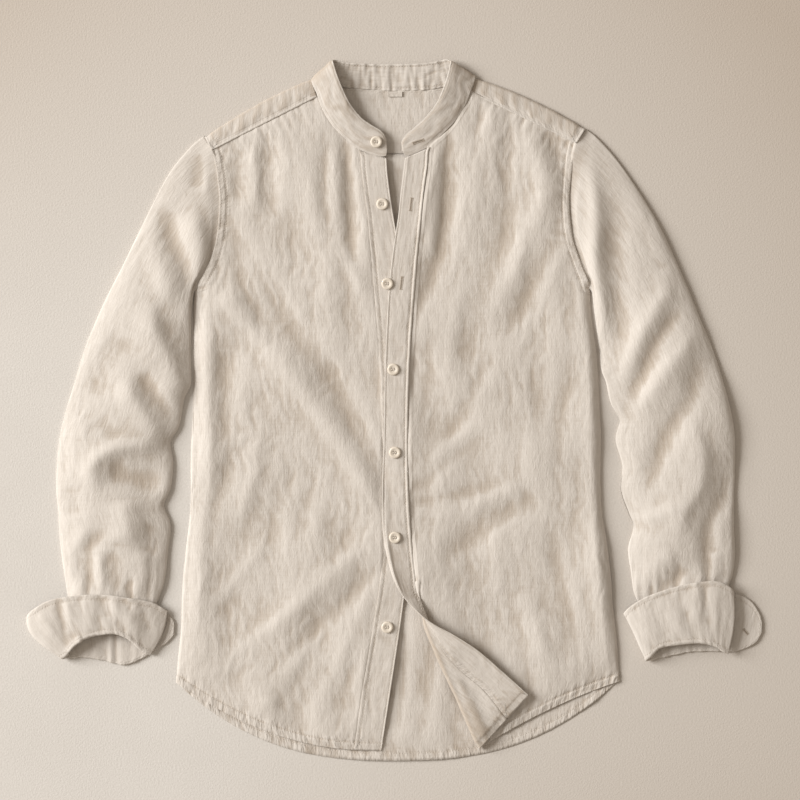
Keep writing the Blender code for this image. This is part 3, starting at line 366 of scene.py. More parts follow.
def on_table(table: tuple, at: Array) -> Array:
    """Rows of a table at row numbers that may be fractions, on a Catmull-Rom curve.

    Args:
        table: rows of numbers.
        at: row numbers, of any shape.

    Returns:
        An array of the shape of at, with the row's numbers as its last axis.
    """
    rows = np.asarray(table, float)
    last = len(rows) - 1
    i = np.clip(np.floor(at).astype(int), 0, last - 1)
    f = (at - i)[..., None]
    p, q, r, s = (rows[np.clip(i + k, 0, last)] for k in (-1, 0, 1, 2))
    return q + 0.5 * f * (r - p + f * (2 * p - 5 * q + 4 * r - s + f * (3 * (q - r) + s - p)))


def crowded(count: int, start: float = 0.0, end: float = 0.0, reach: float = 0.03) -> Array:
    """Shares from 0 to 1 that lie closer together at one or both ends.

    Args:
        count: how many shares.
        start: how many times closer at 0, less one.
        end: the same at 1.
        reach: how far the closer spacing reaches.

    Returns:
        The shares, rising.
    """
    fine = np.linspace(0.0, 1.0, 2400)
    dense = 1.0 + start * np.exp(-(fine / reach) ** 2) + end * np.exp(-((1 - fine) / reach) ** 2)
    run = np.concatenate(([0.0], np.cumsum((dense[1:] + dense[:-1]) / 2)))
    return np.interp(np.linspace(0.0, run[-1], count), run, fine)


def even_numbers(table: tuple, ends: tuple, at: Array | int, first: float = 0.0) -> Array:
    """Row numbers of a table whose sections lie at given shares of the way along it.

    Args:
        table: rows of numbers.
        ends: pairs of columns that hold the X and Y of the section's ends.
        at: shares of the way, or how many evenly spaced ones.
        first: the row number to start from.

    Returns:
        The row numbers.
    """
    if isinstance(at, int):
        at = np.linspace(0.0, 1.0, at)
    fine = np.linspace(first, len(table) - 1, 1600)
    rows = on_table(table, fine)
    steps = sum(np.hypot(np.diff(rows[:, a]), np.diff(rows[:, b])) for a, b in ends)
    run = np.concatenate(([0.0], np.cumsum(steps)))
    return np.interp(at * run[-1], run, fine)


def run_length(points: Array, axis: int = 0) -> Array:
    """Length along a grid of points from its first row (axis 0) or column (axis 1).

    Args:
        points: rows and columns of places.
        axis: 0 to go down the rows, 1 to go along the columns.

    Returns:
        The length at each place.
    """
    steps = np.linalg.norm(np.diff(points, axis=axis), axis=-1)
    total = np.cumsum(steps, axis=axis)
    pad = np.zeros_like(np.take(total, [0], axis=axis))
    return np.concatenate((pad, total), axis=axis)


def to_path(points: Array, path: Array) -> tuple[Array, Array]:
    """Distance in plan from points to a path, and how far along the path the nearest place is.

    Args:
        points: places with X and Y as the first two of the last axis.
        path: the path's places, in order.

    Returns:
        Two arrays of the shape of points without its last axis.
    """
    flat = points[..., :2].reshape(-1, 2)
    start, step = path[:-1, :2], np.diff(path[:, :2], axis=0)
    length = np.maximum(np.hypot(step[:, 0], step[:, 1]), 1e-9)
    run = np.concatenate(([0.0], np.cumsum(length)))[:-1]
    away = np.empty(len(flat))
    along = np.empty(len(flat))
    for low in range(0, len(flat), 8000):
        part = flat[low:low + 8000, None, :] - start[None]
        share = np.clip((part * step).sum(-1) / length ** 2, 0.0, 1.0)
        distance = np.linalg.norm(part - share[..., None] * step, axis=-1)
        nearest = distance.argmin(axis=1)
        index = np.arange(len(nearest))
        away[low:low + 8000] = distance[index, nearest]
        along[low:low + 8000] = run[nearest] + share[index, nearest] * length[nearest]
    shape = points.shape[:-1]
    return away.reshape(shape), along.reshape(shape)


def grain(x: Array, y: Array, seed: int) -> Array:
    """Smooth gradient noise from about -1 to 1 with cells of one unit.

    Args:
        x: first coordinate.
        y: second coordinate.
        seed: picks one of many patterns.

    Returns:
        The noise at each place.
    """
    x, y = np.broadcast_arrays(np.asarray(x, float), np.asarray(y, float))
    cell_x, cell_y = np.floor(x).astype(np.int64), np.floor(y).astype(np.int64)
    in_x, in_y = x - cell_x, y - cell_y
    mask = 0xFFFFFFFF

    def corner(step_x: int, step_y: int) -> Array:
        """Slope of one corner of the cell at the place.

        Args:
            step_x: 1 for a corner on the right.
            step_y: 1 for a corner at the top.

        Returns:
            What the corner adds at each place.
        """
        mixed = (cell_x + step_x) * 374761393 + (cell_y + step_y) * 668265263
        mixed = (mixed + seed * 97003) & mask
        mixed = ((mixed ^ (mixed >> 13)) * 1274126177) & mask
        turn = ((mixed ^ (mixed >> 16)) & 0xFFFF) * (2.0 * math.pi / 65536.0)
        return np.cos(turn) * (in_x - step_x) + np.sin(turn) * (in_y - step_y)

    fade_x = in_x ** 3 * (in_x * (in_x * 6 - 15) + 10)
    fade_y = in_y ** 3 * (in_y * (in_y * 6 - 15) + 10)
    low = between(corner(0, 0), corner(1, 0), fade_x)
    high = between(corner(0, 1), corner(1, 1), fade_x)
    return between(low, high, fade_y) * 1.5


def bank(side: Array, width: float, skew: float) -> Array:
    """Share of a ridge's height at a distance to its right, or its left below zero."""
    return np.exp(-(side / (width * (1 + 0.6 * skew * np.tanh(side / width)))) ** 2)


def along_line(crease: Crease, x: Array, y: Array) -> Array:
    """Height that a straight or bowed crease adds at places in plan.

    Args:
        crease: the crease.
        x: X of the places.
        y: Y of the places.

    Returns:
        The height at each place.
    """
    run_x, run_y = crease.to_x - crease.from_x, crease.to_y - crease.from_y
    length = math.hypot(run_x, run_y)
    along = ((x - crease.from_x) * run_x + (y - crease.from_y) * run_y) / length
    side = ((x - crease.from_x) * run_y - (y - crease.from_y) * run_x) / length
    share = np.clip(along / length, 0.0, 1.0)
    side = side - crease.bow * 4 * share * (1 - share)
    past = np.maximum(np.maximum(-along, along - length), 0.0)
    fade = ease(0.45 + 2.4 * np.minimum(share, 1 - share)) * np.exp(-(past / crease.width) ** 2)
    return crease.height * fade * bank(side, crease.width, crease.skew)


def along_curve(fold: Fold, x: Array, y: Array) -> Array:
    """Height that a fold adds at places in plan.

    Args:
        fold: the fold.
        x: X of the places.
        y: Y of the places.

    Returns:
        The height at each place.
    """
    path = on_table(fold.points, np.linspace(0.0, len(fold.points) - 1.0, 7 * len(fold.points)))
    away, along = to_path(np.stack((x, y), axis=-1), path)
    run = run_length(path)
    near_x, near_y, head_x, head_y = (np.interp(along, run, values) for values in (
        path[:, 0], path[:, 1], *np.gradient(path, axis=0).T))
    side = away * np.sign((x - near_x) * head_y - (y - near_y) * head_x)
    share = along / run[-1]
    fade = ease(0.25 + 3.0 * np.minimum(share, 1 - share))
    return fold.height * fade * bank(side, fold.width, fold.skew)


def relief(creases: tuple, x: Array, y: Array) -> Array:
    """Sum of the creases and folds at places in plan.

    Args:
        creases: Crease and Fold entries.
        x: X of the places.
        y: Y of the places.

    Returns:
        The height that they add.
    """
    total = np.zeros_like(x, dtype=float)
    for crease in creases:
        total += (along_curve if isinstance(crease, Fold) else along_line)(crease, x, y)
    return total


@dataclass(frozen=True)
class Crinkle:
    """The small uneven creases of washed linen, lengthwise in the cloth."""

    seed: int
    high: float = 0.34      # of the fine creases
    soft: float = 1.20      # of the wide ones under them

    def at(self, cloth: Array) -> Array:
        """Height at flat cloth coordinates, both in millimetres.

        Args:
            cloth: U and V of the places.

        Returns:
            The height at each place.
        """
        u, v = cloth[..., 0], cloth[..., 1]
        bent = u + 9.0 * grain(u / 60, v / 42, self.seed)
        bent = bent + 3.4 * grain(u / 17, v / 20, self.seed + 1)
        fine = grain(bent / 8.0, v / 28, self.seed + 2)
        finer = grain(bent / 5.0, v / 13, self.seed + 3)
        ridges = 0.55 - np.abs(grain(bent / 13, v / 42, self.seed + 4)) * 1.6
        wide = 0.7 * grain(u / 34, v / 80, self.seed + 5)
        wide = wide + 2.6 * grain(u / 72, v / 90, self.seed + 6)
        patch = 0.75 + 0.45 * grain(u / 70, v / 90, self.seed + 7)
        return self.high * patch * (fine + 0.6 * finer + 0.7 * ridges) + self.soft * wide


@dataclass(frozen=True)
class Seam:
    """What sewing does to cloth beside an edge: a felled or folded band, a groove and puckers."""

    band: float             # distance of the stitching from the edge
    rise: float = 0.35      # of the doubled cloth between them
    groove: float = 0.35    # depth under the stitches
    pucker: float = 0.3     # height of the puckers
    wave: float = 6.5       # length of one pucker
    seed: int = 5

    def at(self, away: Array, along: Array) -> Array:
        """Height at a distance from the edge and a length along it.

        Args:
            away: distance from the edge.
            along: length along it.

        Returns:
            The height at each place.
        """
        lift = self.rise * (1.0 - ease((away - self.band) / 1.6))
        rut = -self.groove * np.exp(-((away - self.band) / 1.1) ** 2)
        near = np.exp(-(np.maximum(away - self.band, 0.0) / 6.0) ** 2)
        skewed = along + 0.5 * away
        folds = grain(skewed / self.wave, away / 14.0, self.seed)
        folds = folds + 0.5 * grain(skewed / (self.wave * 0.45), away / 9.0, self.seed + 1)
        return lift + rut + self.pucker * near * folds


# ---- mesh objects ------------------------------------------------------------------------------
def new_piece(name: str, places: list, faces: list,
              material: bpy.types.Material) -> bpy.types.Object:
    """A smooth mesh object with one finish.

    Args:
        name: the object's name.
        places: its points, in metres.
        faces: its faces, as point numbers.
        material: its finish.

    Returns:
        The new object, linked to the scene.
    """
    mesh = bpy.data.meshes.new(name)
    mesh.from_pydata(places, [], faces)
    mesh.shade_smooth()
    mesh.materials.append(material)
    piece = bpy.data.objects.new(name, mesh)
    bpy.context.scene.collection.objects.link(piece)
    return piece


# ---- a grid of cloth ---------------------------------------------------------------------------
@dataclass
class Sheet:
    """A piece of cloth as a grid of places and flat cloth coordinates, in millimetres."""

    name: str
    places: Array
    cloth: Array
    outward: float = 1.0        # which way its right side faces
    closed: bool = False        # columns run round a tube; the cloth then has one column more
    kept: Array | None = None
    wall: float = SHELL
    seam: Array | None = None   # distance from the nearest seam over its stitching's
    along: Array | None = None  # how far along that seam, in millimetres
    pull: Array | None = None   # how strongly the cloth puckers there

    def near(self, *seams: tuple) -> None:
        """Note the nearest seam of each place.

        Args:
            seams: distance from each seam, length along it, its stitching's distance and how
                strongly it puckers.
        """
        shape = self.places.shape[:2]
        ratios = np.stack([np.broadcast_to(away / band, shape) for away, _, band, _ in seams])
        lengths = np.stack([np.broadcast_to(along, shape) for _, along, _, _ in seams])
        pulls = np.stack([np.broadcast_to(pull, shape) for _, _, _, pull in seams])
        pick = ratios.argmin(axis=0)[None]
        self.seam = np.take_along_axis(ratios, pick, axis=0)[0]
        self.along = np.take_along_axis(lengths, pick, axis=0)[0]
        self.pull = np.take_along_axis(pulls, pick, axis=0)[0] * np.clip(2.0 - self.seam, 0.0, 1.0)

    def normals(self) -> Array:
        """Unit vectors off the right side of the cloth.

        Returns:
            A unit vector for each place.
        """
        down = np.gradient(self.places, axis=0)
        if self.closed:
            over = (np.roll(self.places, -1, axis=1) - np.roll(self.places, 1, axis=1)) / 2
        else:
            over = np.gradient(self.places, axis=1)
        cross = np.cross(down, over) * self.outward
        return cross / np.maximum(np.linalg.norm(cross, axis=-1, keepdims=True), 1e-9)

    def soften(self, field_: Array, passes: int) -> Array:
        """A field over the grid, averaged with its neighbours a number of times.

        Args:
            field_: values or vectors over the grid.
            passes: how often they are averaged.

        Returns:
            The softened field.
        """
        smooth = field_.copy()
        for _ in range(passes):
            edge = np.concatenate((smooth[:1], smooth, smooth[-1:]), axis=0)
            smooth = (edge[:-2] + 2 * edge[1:-1] + edge[2:]) / 4
            if self.closed:
                smooth = (np.roll(smooth, 1, 1) + 2 * smooth + np.roll(smooth, -1, 1)) / 4
            else:
                edge = np.concatenate((smooth[:, :1], smooth, smooth[:, -1:]), axis=1)
                smooth = (edge[:, :-2] + 2 * edge[:, 1:-1] + edge[:, 2:]) / 4
        return smooth

    def raise_by(self, height: Array) -> None:
        """Move each place off the right side of the cloth by a height.

        Args:
            height: a field over the grid, in millimetres.
        """
        facing = self.soften(self.normals(), 3)
        facing /= np.maximum(np.linalg.norm(facing, axis=-1, keepdims=True), 1e-9)
        self.places = self.places + facing * height[..., None]

    def hollows(self, passes: int, scale: float) -> Array:
        """How far each place stands above or below the cloth round it, from -1 to 1.

        Args:
            passes: how often the cloth round it is averaged.
            scale: the height that counts as deep, in millimetres.

        Returns:
            A field over the grid.
        """
        off = ((self.places - self.soften(self.places, passes)) * self.normals()).sum(-1)
        return np.tanh(off / scale)

    def line(self, away: Array, value: float, rows: slice = slice(None)) -> Array:
        """Where a field first reaches a value in each row, on the shell's right side.

        Args:
            away: a field over the grid, such as the distance from an edge.
            value: the value to find.
            rows: the rows to look at.

        Returns:
            A path of places; rows that never reach the value are left out.
        """
        top = self.places + self.normals() * (self.wall / 2 + 0.05)
        field_, top = away[rows], top[rows]
        low, high = field_[:, :-1] - value, field_[:, 1:] - value
        hit = (low * high <= 0) & (low != high)
        found = hit.any(axis=1)
        column = hit.argmax(axis=1)[found]
        index = np.arange(len(field_))[found]
        share = (-low[index, column] / (high - low)[index, column])[:, None]
        return between(top[index, column], top[index, column + 1], share)

    def along_rows(self, row_at: float, columns: slice = slice(None)) -> Array:
        """A path across the grid at a row that may be a fraction, on the right side.

        Args:
            row_at: the row.
            columns: the columns to cross.

        Returns:
            A path of places.
        """
        top = self.places + self.normals() * (self.wall / 2 + 0.05)
        i = min(int(row_at), len(top) - 2)
        return between(top[i, columns], top[i + 1, columns], row_at - i)

    def down_columns(self, column_at: Array, rows: slice = slice(None)) -> Array:
        """A path down the grid at columns that may be fractions, on the right side.

        Args:
            column_at: the column in each row.
            rows: the rows to go down.

        Returns:
            A path of places.
        """
        top = (self.places + self.normals() * (self.wall / 2 + 0.05))[rows]
        at = np.broadcast_to(column_at, (len(top),))
        i = np.clip(at.astype(int), 0, top.shape[1] - 2)
        index = np.arange(len(top))
        return between(top[index, i], top[index, i + 1], (at - i)[:, None])

    def upon(self, plan: Array, lift: float = 0.1) -> Array:
        """Places on the right side of the cloth above or below places in plan.

        Args:
            plan: X and Y of each place.
            lift: how far off the cloth it lies.

        Returns:
            The places.
        """
        facing = self.normals()
        facing = facing * np.where(facing[..., 2:] < 0, -1.0, 1.0)
        top = (self.places + facing * (self.wall / 2 + lift)).reshape(-1, 3)
        found = []
        for x, y in plan:
            away = np.hypot(top[:, 0] - x, top[:, 1] - y)
            near = np.argpartition(away, 10)[:10]
            near = near[top[near, 2] > top[near, 2].max() - 0.8]
            weight = 1.0 / (away[near] + 0.05) ** 2
            found.append((x, y, (top[near, 2] * weight).sum() / weight.sum()))
        return np.array(found)

    def build(self, material: bpy.types.Material, ending: str = "_cloth") -> bpy.types.Object:
        """Make the mesh with its cloth coordinates, its hollows and its wall.

        Args:
            material: the finish of the whole piece.
            ending: what the piece's name adds to the sheet's.

        Returns:
            The new object, linked to the scene.
        """
        count_r, count_c = self.places.shape[:2]
        kept = np.ones((count_r, count_c), bool) if self.kept is None else self.kept
        number = np.full((count_r, count_c), -1)
        number[kept] = np.arange(kept.sum())
        right = np.roll(number, -1, 1) if self.closed else number[:, 1:]
        left = number if self.closed else number[:, :-1]
        quads = np.stack((left[:-1], left[1:], right[1:], right[:-1]), axis=-1).reshape(-1, 4)
        i, j = np.meshgrid(np.arange(count_r - 1), np.arange(left.shape[1]), indexing="ij")
        uv = np.stack((self.cloth[i, j], self.cloth[i + 1, j], self.cloth[i + 1, j + 1],
                       self.cloth[i, j + 1]), axis=2).reshape(-1, 4, 2)
        whole = (quads >= 0).all(axis=1)
        quads, uv = quads[whole], uv[whole]
        if self.outward < 0:
            quads, uv = quads[:, ::-1], uv[:, ::-1]
        points = (self.places[kept] * MM).tolist()
        piece = new_piece(self.name + ending, points, quads.tolist(), material)
        layer = piece.data.uv_layers.new(name="cloth")
        layer.data.foreach_set("uv", (uv * MM).ravel())
        # The two relief fields below, small and wide, hold how far each place stands above or
        # below the cloth round it; the linen paints shade into the low places from them, and light
        # onto the small ridges.
        fields = {"hollow": (self.hollows(9, 0.35), 0.0), "painted_valley_shade": (self.hollows(70, 1.3), 0.0),
                  "seam": (self.seam, 9.0), "along": (self.along, 0.0), "pull": (self.pull, 0.0)}
        for key, (values, none) in fields.items():
            layer = piece.data.attributes.new(key, "FLOAT", "POINT")
            given = np.full(kept.shape, none) if values is None else values
            layer.data.foreach_set("value", given[kept])
        wall = piece.modifiers.new("wall", "SOLIDIFY")
        wall.thickness = self.wall * MM
        wall.offset = 0.0
        return piece


# ---- finishes ----------------------------------------------------------------------------------
def operator(operation: str, reflected: bool = False) -> Callable:
    """An operator of Value that adds one Math node; a reflected one has its value on the right."""

    def method(value: Value, other: Value | float) -> Value:
        """The result of the Math node."""
        return value.step(operation, *((other, value) if reflected else (value, other)))

    return method


class Value:
    """A shader socket that can be added, multiplied and so on; each step adds a Math node."""

    def __init__(self, shader: Shader, socket: bpy.types.NodeSocket) -> None:
        """Keep the shader and the socket."""
        self.shader = shader
        self.socket = socket

    def step(self, operation: str, *values: Value | float) -> Value:
        """One Math node on these values."""
        return self.shader.add("ShaderNodeMath", {"operation": operation}, dict(enumerate(values)))

    __add__ = __radd__ = operator("ADD")
    __sub__, __rsub__ = operator("SUBTRACT"), operator("SUBTRACT", reflected=True)
    __mul__ = __rmul__ = operator("MULTIPLY")
    __truediv__, __rtruediv__ = operator("DIVIDE"), operator("DIVIDE", reflected=True)

    def sine(self) -> Value:
        """Sine of the value in radians."""
        return self.step("SINE", self)

    def size(self) -> Value:
        """The value without its sign."""
        return self.step("ABSOLUTE", self)

    def held(self) -> Value:
        """The value held between 0 and 1."""
        return self.shader.add("ShaderNodeClamp", {}, {"Value": self})


class Shader:
    """A material's node tree, with one method that adds any node."""

    def __init__(self, name: str) -> None:
        """Start a material of that name with its Principled shader.

        Args:
            name: the material's name.
        """
        self.material = bpy.data.materials.new(name)
        self.material.use_nodes = True
        self.tree = self.material.node_tree
        self.surface = self.tree.nodes["Principled BSDF"]

    def add(self, kind: str, settings: dict, inputs: dict, output: int | str = 0) -> Value:
        """Add a node.

        Args:
            kind: the node's type.
            settings: its own settings, set first.
            inputs: numbers, tuples or Values by socket name or number.
            output: which of its outputs to return.

        Returns:
            The output as a Value.
        """
        node = self.tree.nodes.new(kind)
        for key, value in settings.items():
            setattr(node, key, value)
        for key, value in inputs.items():
            self.feed(node.inputs[key], value)
        return Value(self, node.outputs[output])

    def feed(self, socket: bpy.types.NodeSocket, value: Value | float | tuple) -> None:
        """Link a socket to a Value, or set it to a number or a tuple."""
        if isinstance(value, Value):
            self.tree.links.new(value.socket, socket)
        elif socket.type == "RGBA":
            socket.default_value = (*value[:3], 1.0)
        else:
            socket.default_value = value

    def mix(self, factor: Value | float, first: Value | tuple, second: Value | tuple) -> Value:
        """A colour between two others."""
        inputs = {0: factor, 6: first, 7: second}
        return self.add("ShaderNodeMix", {"data_type": "RGBA"}, inputs, 2)

    def carried(self, name: str) -> Value:
        """A field that the mesh carries."""
        return self.add("ShaderNodeAttribute", {"attribute_name": name}, {}, "Fac")

    def part(self, place: Value, axis: int) -> Value:
        """One coordinate of a place: 0 for X, 1 for Y."""
        return self.add("ShaderNodeSeparateXYZ", {}, {0: place}, axis)

    def on_piece(self) -> Value:
        """The place on the piece, in metres."""
        return self.add("ShaderNodeTexCoord", {}, {}, "Object")

    def noise(self, place: Value, scale: float, detail: float, **more: float) -> Value:
        """Noise from 0 to 1 at a place."""
        return self.add("ShaderNodeTexNoise", {"normalize": True},
                        {"Vector": place, "Scale": scale, "Detail": detail, **more})

    def stretched(self, place: Value, across: float, along: float) -> Value:
        """A place scaled so that one unit is that many millimetres across and along."""
        scale = (1 / (across * MM), 1 / (along * MM), 1.0 / MM)
        return self.add("ShaderNodeVectorMath", {"operation": "MULTIPLY"}, {0: place, 1: scale})

    def bump(self, height: Value, distance: float, strength: float,
             under: Value | None = None) -> Value:
        """A normal from a height, on top of another normal if one is given.

        Args:
            height: the height, from 0 to 1.
            distance: how high 1 stands, in metres.
            strength: share of the relief.
            under: the normal under it.

        Returns:
            The normal.
        """
        inputs = {"Height": height, "Distance": distance, "Strength": strength}
        if under is not None:
            inputs["Normal"] = under
        return self.add("ShaderNodeBump", {}, inputs)

    def finish(self, colour: Value | tuple, roughness: Value | float, normal: Value | None,
               constants: dict) -> bpy.types.Material:
        """Feed the Principled shader.

        Args:
            colour: base colour.
            roughness: roughness.
            normal: the surface normal, if it has relief.
            constants: other inputs that are the same all over.

        Returns:
            The finished material.
        """
        self.feed(self.surface.inputs["Base Color"], colour)
        self.feed(self.surface.inputs["Roughness"], roughness)
        if normal is not None:
            self.feed(self.surface.inputs["Normal"], normal)
        for key, value in constants.items():
            self.surface.inputs[key].default_value = value
        return self.material


@dataclass(frozen=True)
class Linen:
    """Washed linen: uneven threads, slubs, fine crinkles and a dry matt surface, with painted
    shade in its troughs, valleys, seam grooves and pucker hollows and painted light on its small
    ridges.
    """

    name: str
    light: tuple = (0.685, 0.638, 0.588)
    body: tuple = (0.530, 0.480, 0.426)
    shade: tuple = (0.400, 0.328, 0.256)
    pitch: float = 0.95         # of the weave, in millimetres
    pucker: float = 5.5         # length of a pucker beside a seam
    crinkle: float = 1.0        # share of the fine crinkles

    def build(self) -> bpy.types.Material:
        """Make the material.

        Returns:
            The material.
        """
        s = Shader(self.name)
        uv = s.add("ShaderNodeUVMap", {"uv_map": "cloth"}, {})
        hollow = s.carried("hollow")
        warp = s.noise(s.stretched(uv, 0.9, 26.0), 1.0, 2.0, Roughness=0.6)
        weft = s.noise(s.stretched(uv, 22.0, 0.9), 1.0, 2.0, Roughness=0.6)
        slub = s.noise(s.stretched(uv, 2.3, 30.0), 1.0, 2.0, Roughness=0.55, Distortion=0.4)
        cross = s.noise(s.stretched(uv, 24.0, 2.2), 1.0, 2.0, Roughness=0.55, Distortion=0.4)
        fine = s.noise(s.stretched(uv, 3.6, 9.5), 1.0, 3.0, Roughness=0.6, Distortion=0.9)
        cloud = s.noise(s.stretched(uv, 26.0, 44.0), 1.0, 2.0, Roughness=0.5)
        threads = (warp - 0.5) * 0.55 + (weft - 0.5) * 0.35
        weave_tone_and_relief_shade = threads + (slub - 0.5) * 1.05 + (cross - 0.5) * 0.4 + (fine - 0.5) * 0.7
        # The tone adds painted light and shade from the small relief, lighter on ridges and darker
        # in troughs, over the weave's random variation.
        weave_tone_and_relief_shade = weave_tone_and_relief_shade + (cloud - 0.5) * 0.35 + hollow * 0.20
        lit = s.mix((weave_tone_and_relief_shade * 0.8 + 0.42).held(), self.body, self.light)
        # Painted shade: the colour goes towards the shade colour in small troughs and in the wide
        # valleys of the cloth.
        painted_valley_shade = s.carried("painted_valley_shade")
        shaded = s.mix((0.0 - hollow * 0.34 - weave_tone_and_relief_shade * 0.5 - painted_valley_shade * 0.28).held(), lit, self.shade)
        across = s.part(uv, 0)
        down = s.part(uv, 1)
        turn = math.pi / (self.pitch * MM)
        weave = (across * turn).sine() * (down * turn).sine()
        thread_height = weave * 0.2 + threads * 0.5 + (cross + slub) * 0.3
        seam = s.carried("seam")
        along = s.carried("along")
        beside = s.add("ShaderNodeCombineXYZ", {}, {
            0: along / self.pucker + seam * 0.8, 1: seam * 0.55, 2: along / (self.pucker * 9)})
        ropes = s.noise(beside, 1.0, 2.0, Roughness=0.6)
        pull = s.carried("pull")
        rut = (1.0 - (seam - 1.0).size() * 4.0).held()
        pressed = (ropes - 0.5) * pull * 1.5 - rut * 0.12
        # Painted shade: the colour darkens in the groove under the stitches and in the low parts
        # of the puckers beside a seam, where the bump sinks.
        colour = s.mix(((0.5 - ropes) * pull * 1.4 + rut * 0.10).held(), shaded, self.shade)
        seams = s.bump(pressed, 0.0013, 1.0)
        under = s.bump(fine * 0.8 + slub * 0.16 + cross * 0.1, 0.0009 * self.crinkle, 0.7, seams)
        normal = s.bump(thread_height, 0.00022, 0.6, under)
        rough = (weave_tone_and_relief_shade * -0.10 + 0.90).held()
        return s.finish(colour, rough, normal, {
            "Metallic": 0.0, "Specular IOR Level": 0.25, "Sheen Weight": 0.18,
            "Sheen Roughness": 0.6, "Sheen Tint": (1.0, 0.97, 0.92, 1.0)})


@dataclass(frozen=True)
class Thread:
    """Spun cotton sewing thread."""

    name: str
    light: tuple = (0.71, 0.655, 0.595)
    shade: tuple = (0.59, 0.53, 0.465)

    def build(self) -> bpy.types.Material:
        """Make the material.

        Returns:
            The material.
        """
        s = Shader(self.name)
        place = s.on_piece()
        ply = s.noise(place, 2600.0, 2.0, Roughness=0.5)
        patch = s.noise(place, 90.0, 1.0)
        colour = s.mix((ply * 0.7 + patch * 0.5 - 0.25).held(), self.shade, self.light)
        normal = s.bump(ply, 0.0001, 0.5)
        return s.finish(colour, 0.75, normal, {"Metallic": 0.0, "Sheen Weight": 0.15})


@dataclass(frozen=True)
class Polished:
    """A shell-like button: cloudy, softly polished, a little brown in places."""

    name: str
    light: tuple = (0.79, 0.73, 0.65)
    cloud: tuple = (0.68, 0.60, 0.50)

    def build(self) -> bpy.types.Material:
        """Make the material.

        Returns:
            The material.
        """
        s = Shader(self.name)
        place = s.on_piece()
        cloud = s.noise(place, 240.0, 3.0, Roughness=0.6, Distortion=1.2)
        speck = s.noise(place, 1500.0, 2.0, Roughness=0.6)
        colour = s.mix((cloud * 1.3 - 0.35).held(), self.cloud, self.light)
        rough = speck * 0.18 + 0.24
        normal = s.bump(speck, 0.00004, 0.4)
        return s.finish(colour, rough, normal, {"Metallic": 0.0, "Coat Weight": 0.15})


@dataclass(frozen=True)
class Plaster:
    """The pale plastered surface under the shirt, with painted shade that darkens it towards the
    right and into the corners.
    """

    name: str = "plaster"
    light: tuple = (0.725, 0.692, 0.65)
    shade: tuple = (0.60, 0.565, 0.525)
    painted_falloff_shade: tuple = (0.50, 0.435, 0.37)

    def build(self) -> bpy.types.Material:
        """Make the material.

        Returns:
            The material.
        """
        s = Shader(self.name)
        place = s.on_piece()
        grit = s.noise(place, 430.0, 3.0, Roughness=0.75)
        cloud = s.noise(place, 9.0, 3.0, Roughness=0.55)
        across = s.part(place, 0)
        along = s.part(place, 1)
        plaster_tone = s.mix((grit * 1.3 + cloud * 0.5 - 0.45).held(), self.shade, self.light)
        # Painted shade: the colour darkens towards the right and into the corners, as the light
        # falls off, with a little random mottling.
        corner = (across + 0.18) * (across + 0.18) * 0.55 + (along + 0.1) * (along + 0.1) * 1.3
        painted_falloff_mix = across * 0.46 + corner - across * along * 0.8 + across * across * along * 2.6
        painted_falloff_mix = painted_falloff_mix + (cloud - 0.5) * 0.12 + 0.09
        colour = s.mix(painted_falloff_mix.held(), plaster_tone, self.painted_falloff_shade)
        normal = s.bump(grit, 0.0009, 0.5)
        return s.finish(colour, 0.88, normal, {"Metallic": 0.0, "Specular IOR Level": 0.3})


# ---- stitches ----------------------------------------------------------------------------------
@dataclass(frozen=True)
class Stitching:
    """Sizes of a row of stitches, in millimetres, and how far each is turned on its line."""

    pitch: float = 3.3
    length: float = 2.5
    thread: float = 0.55
    turn: float = 0.0


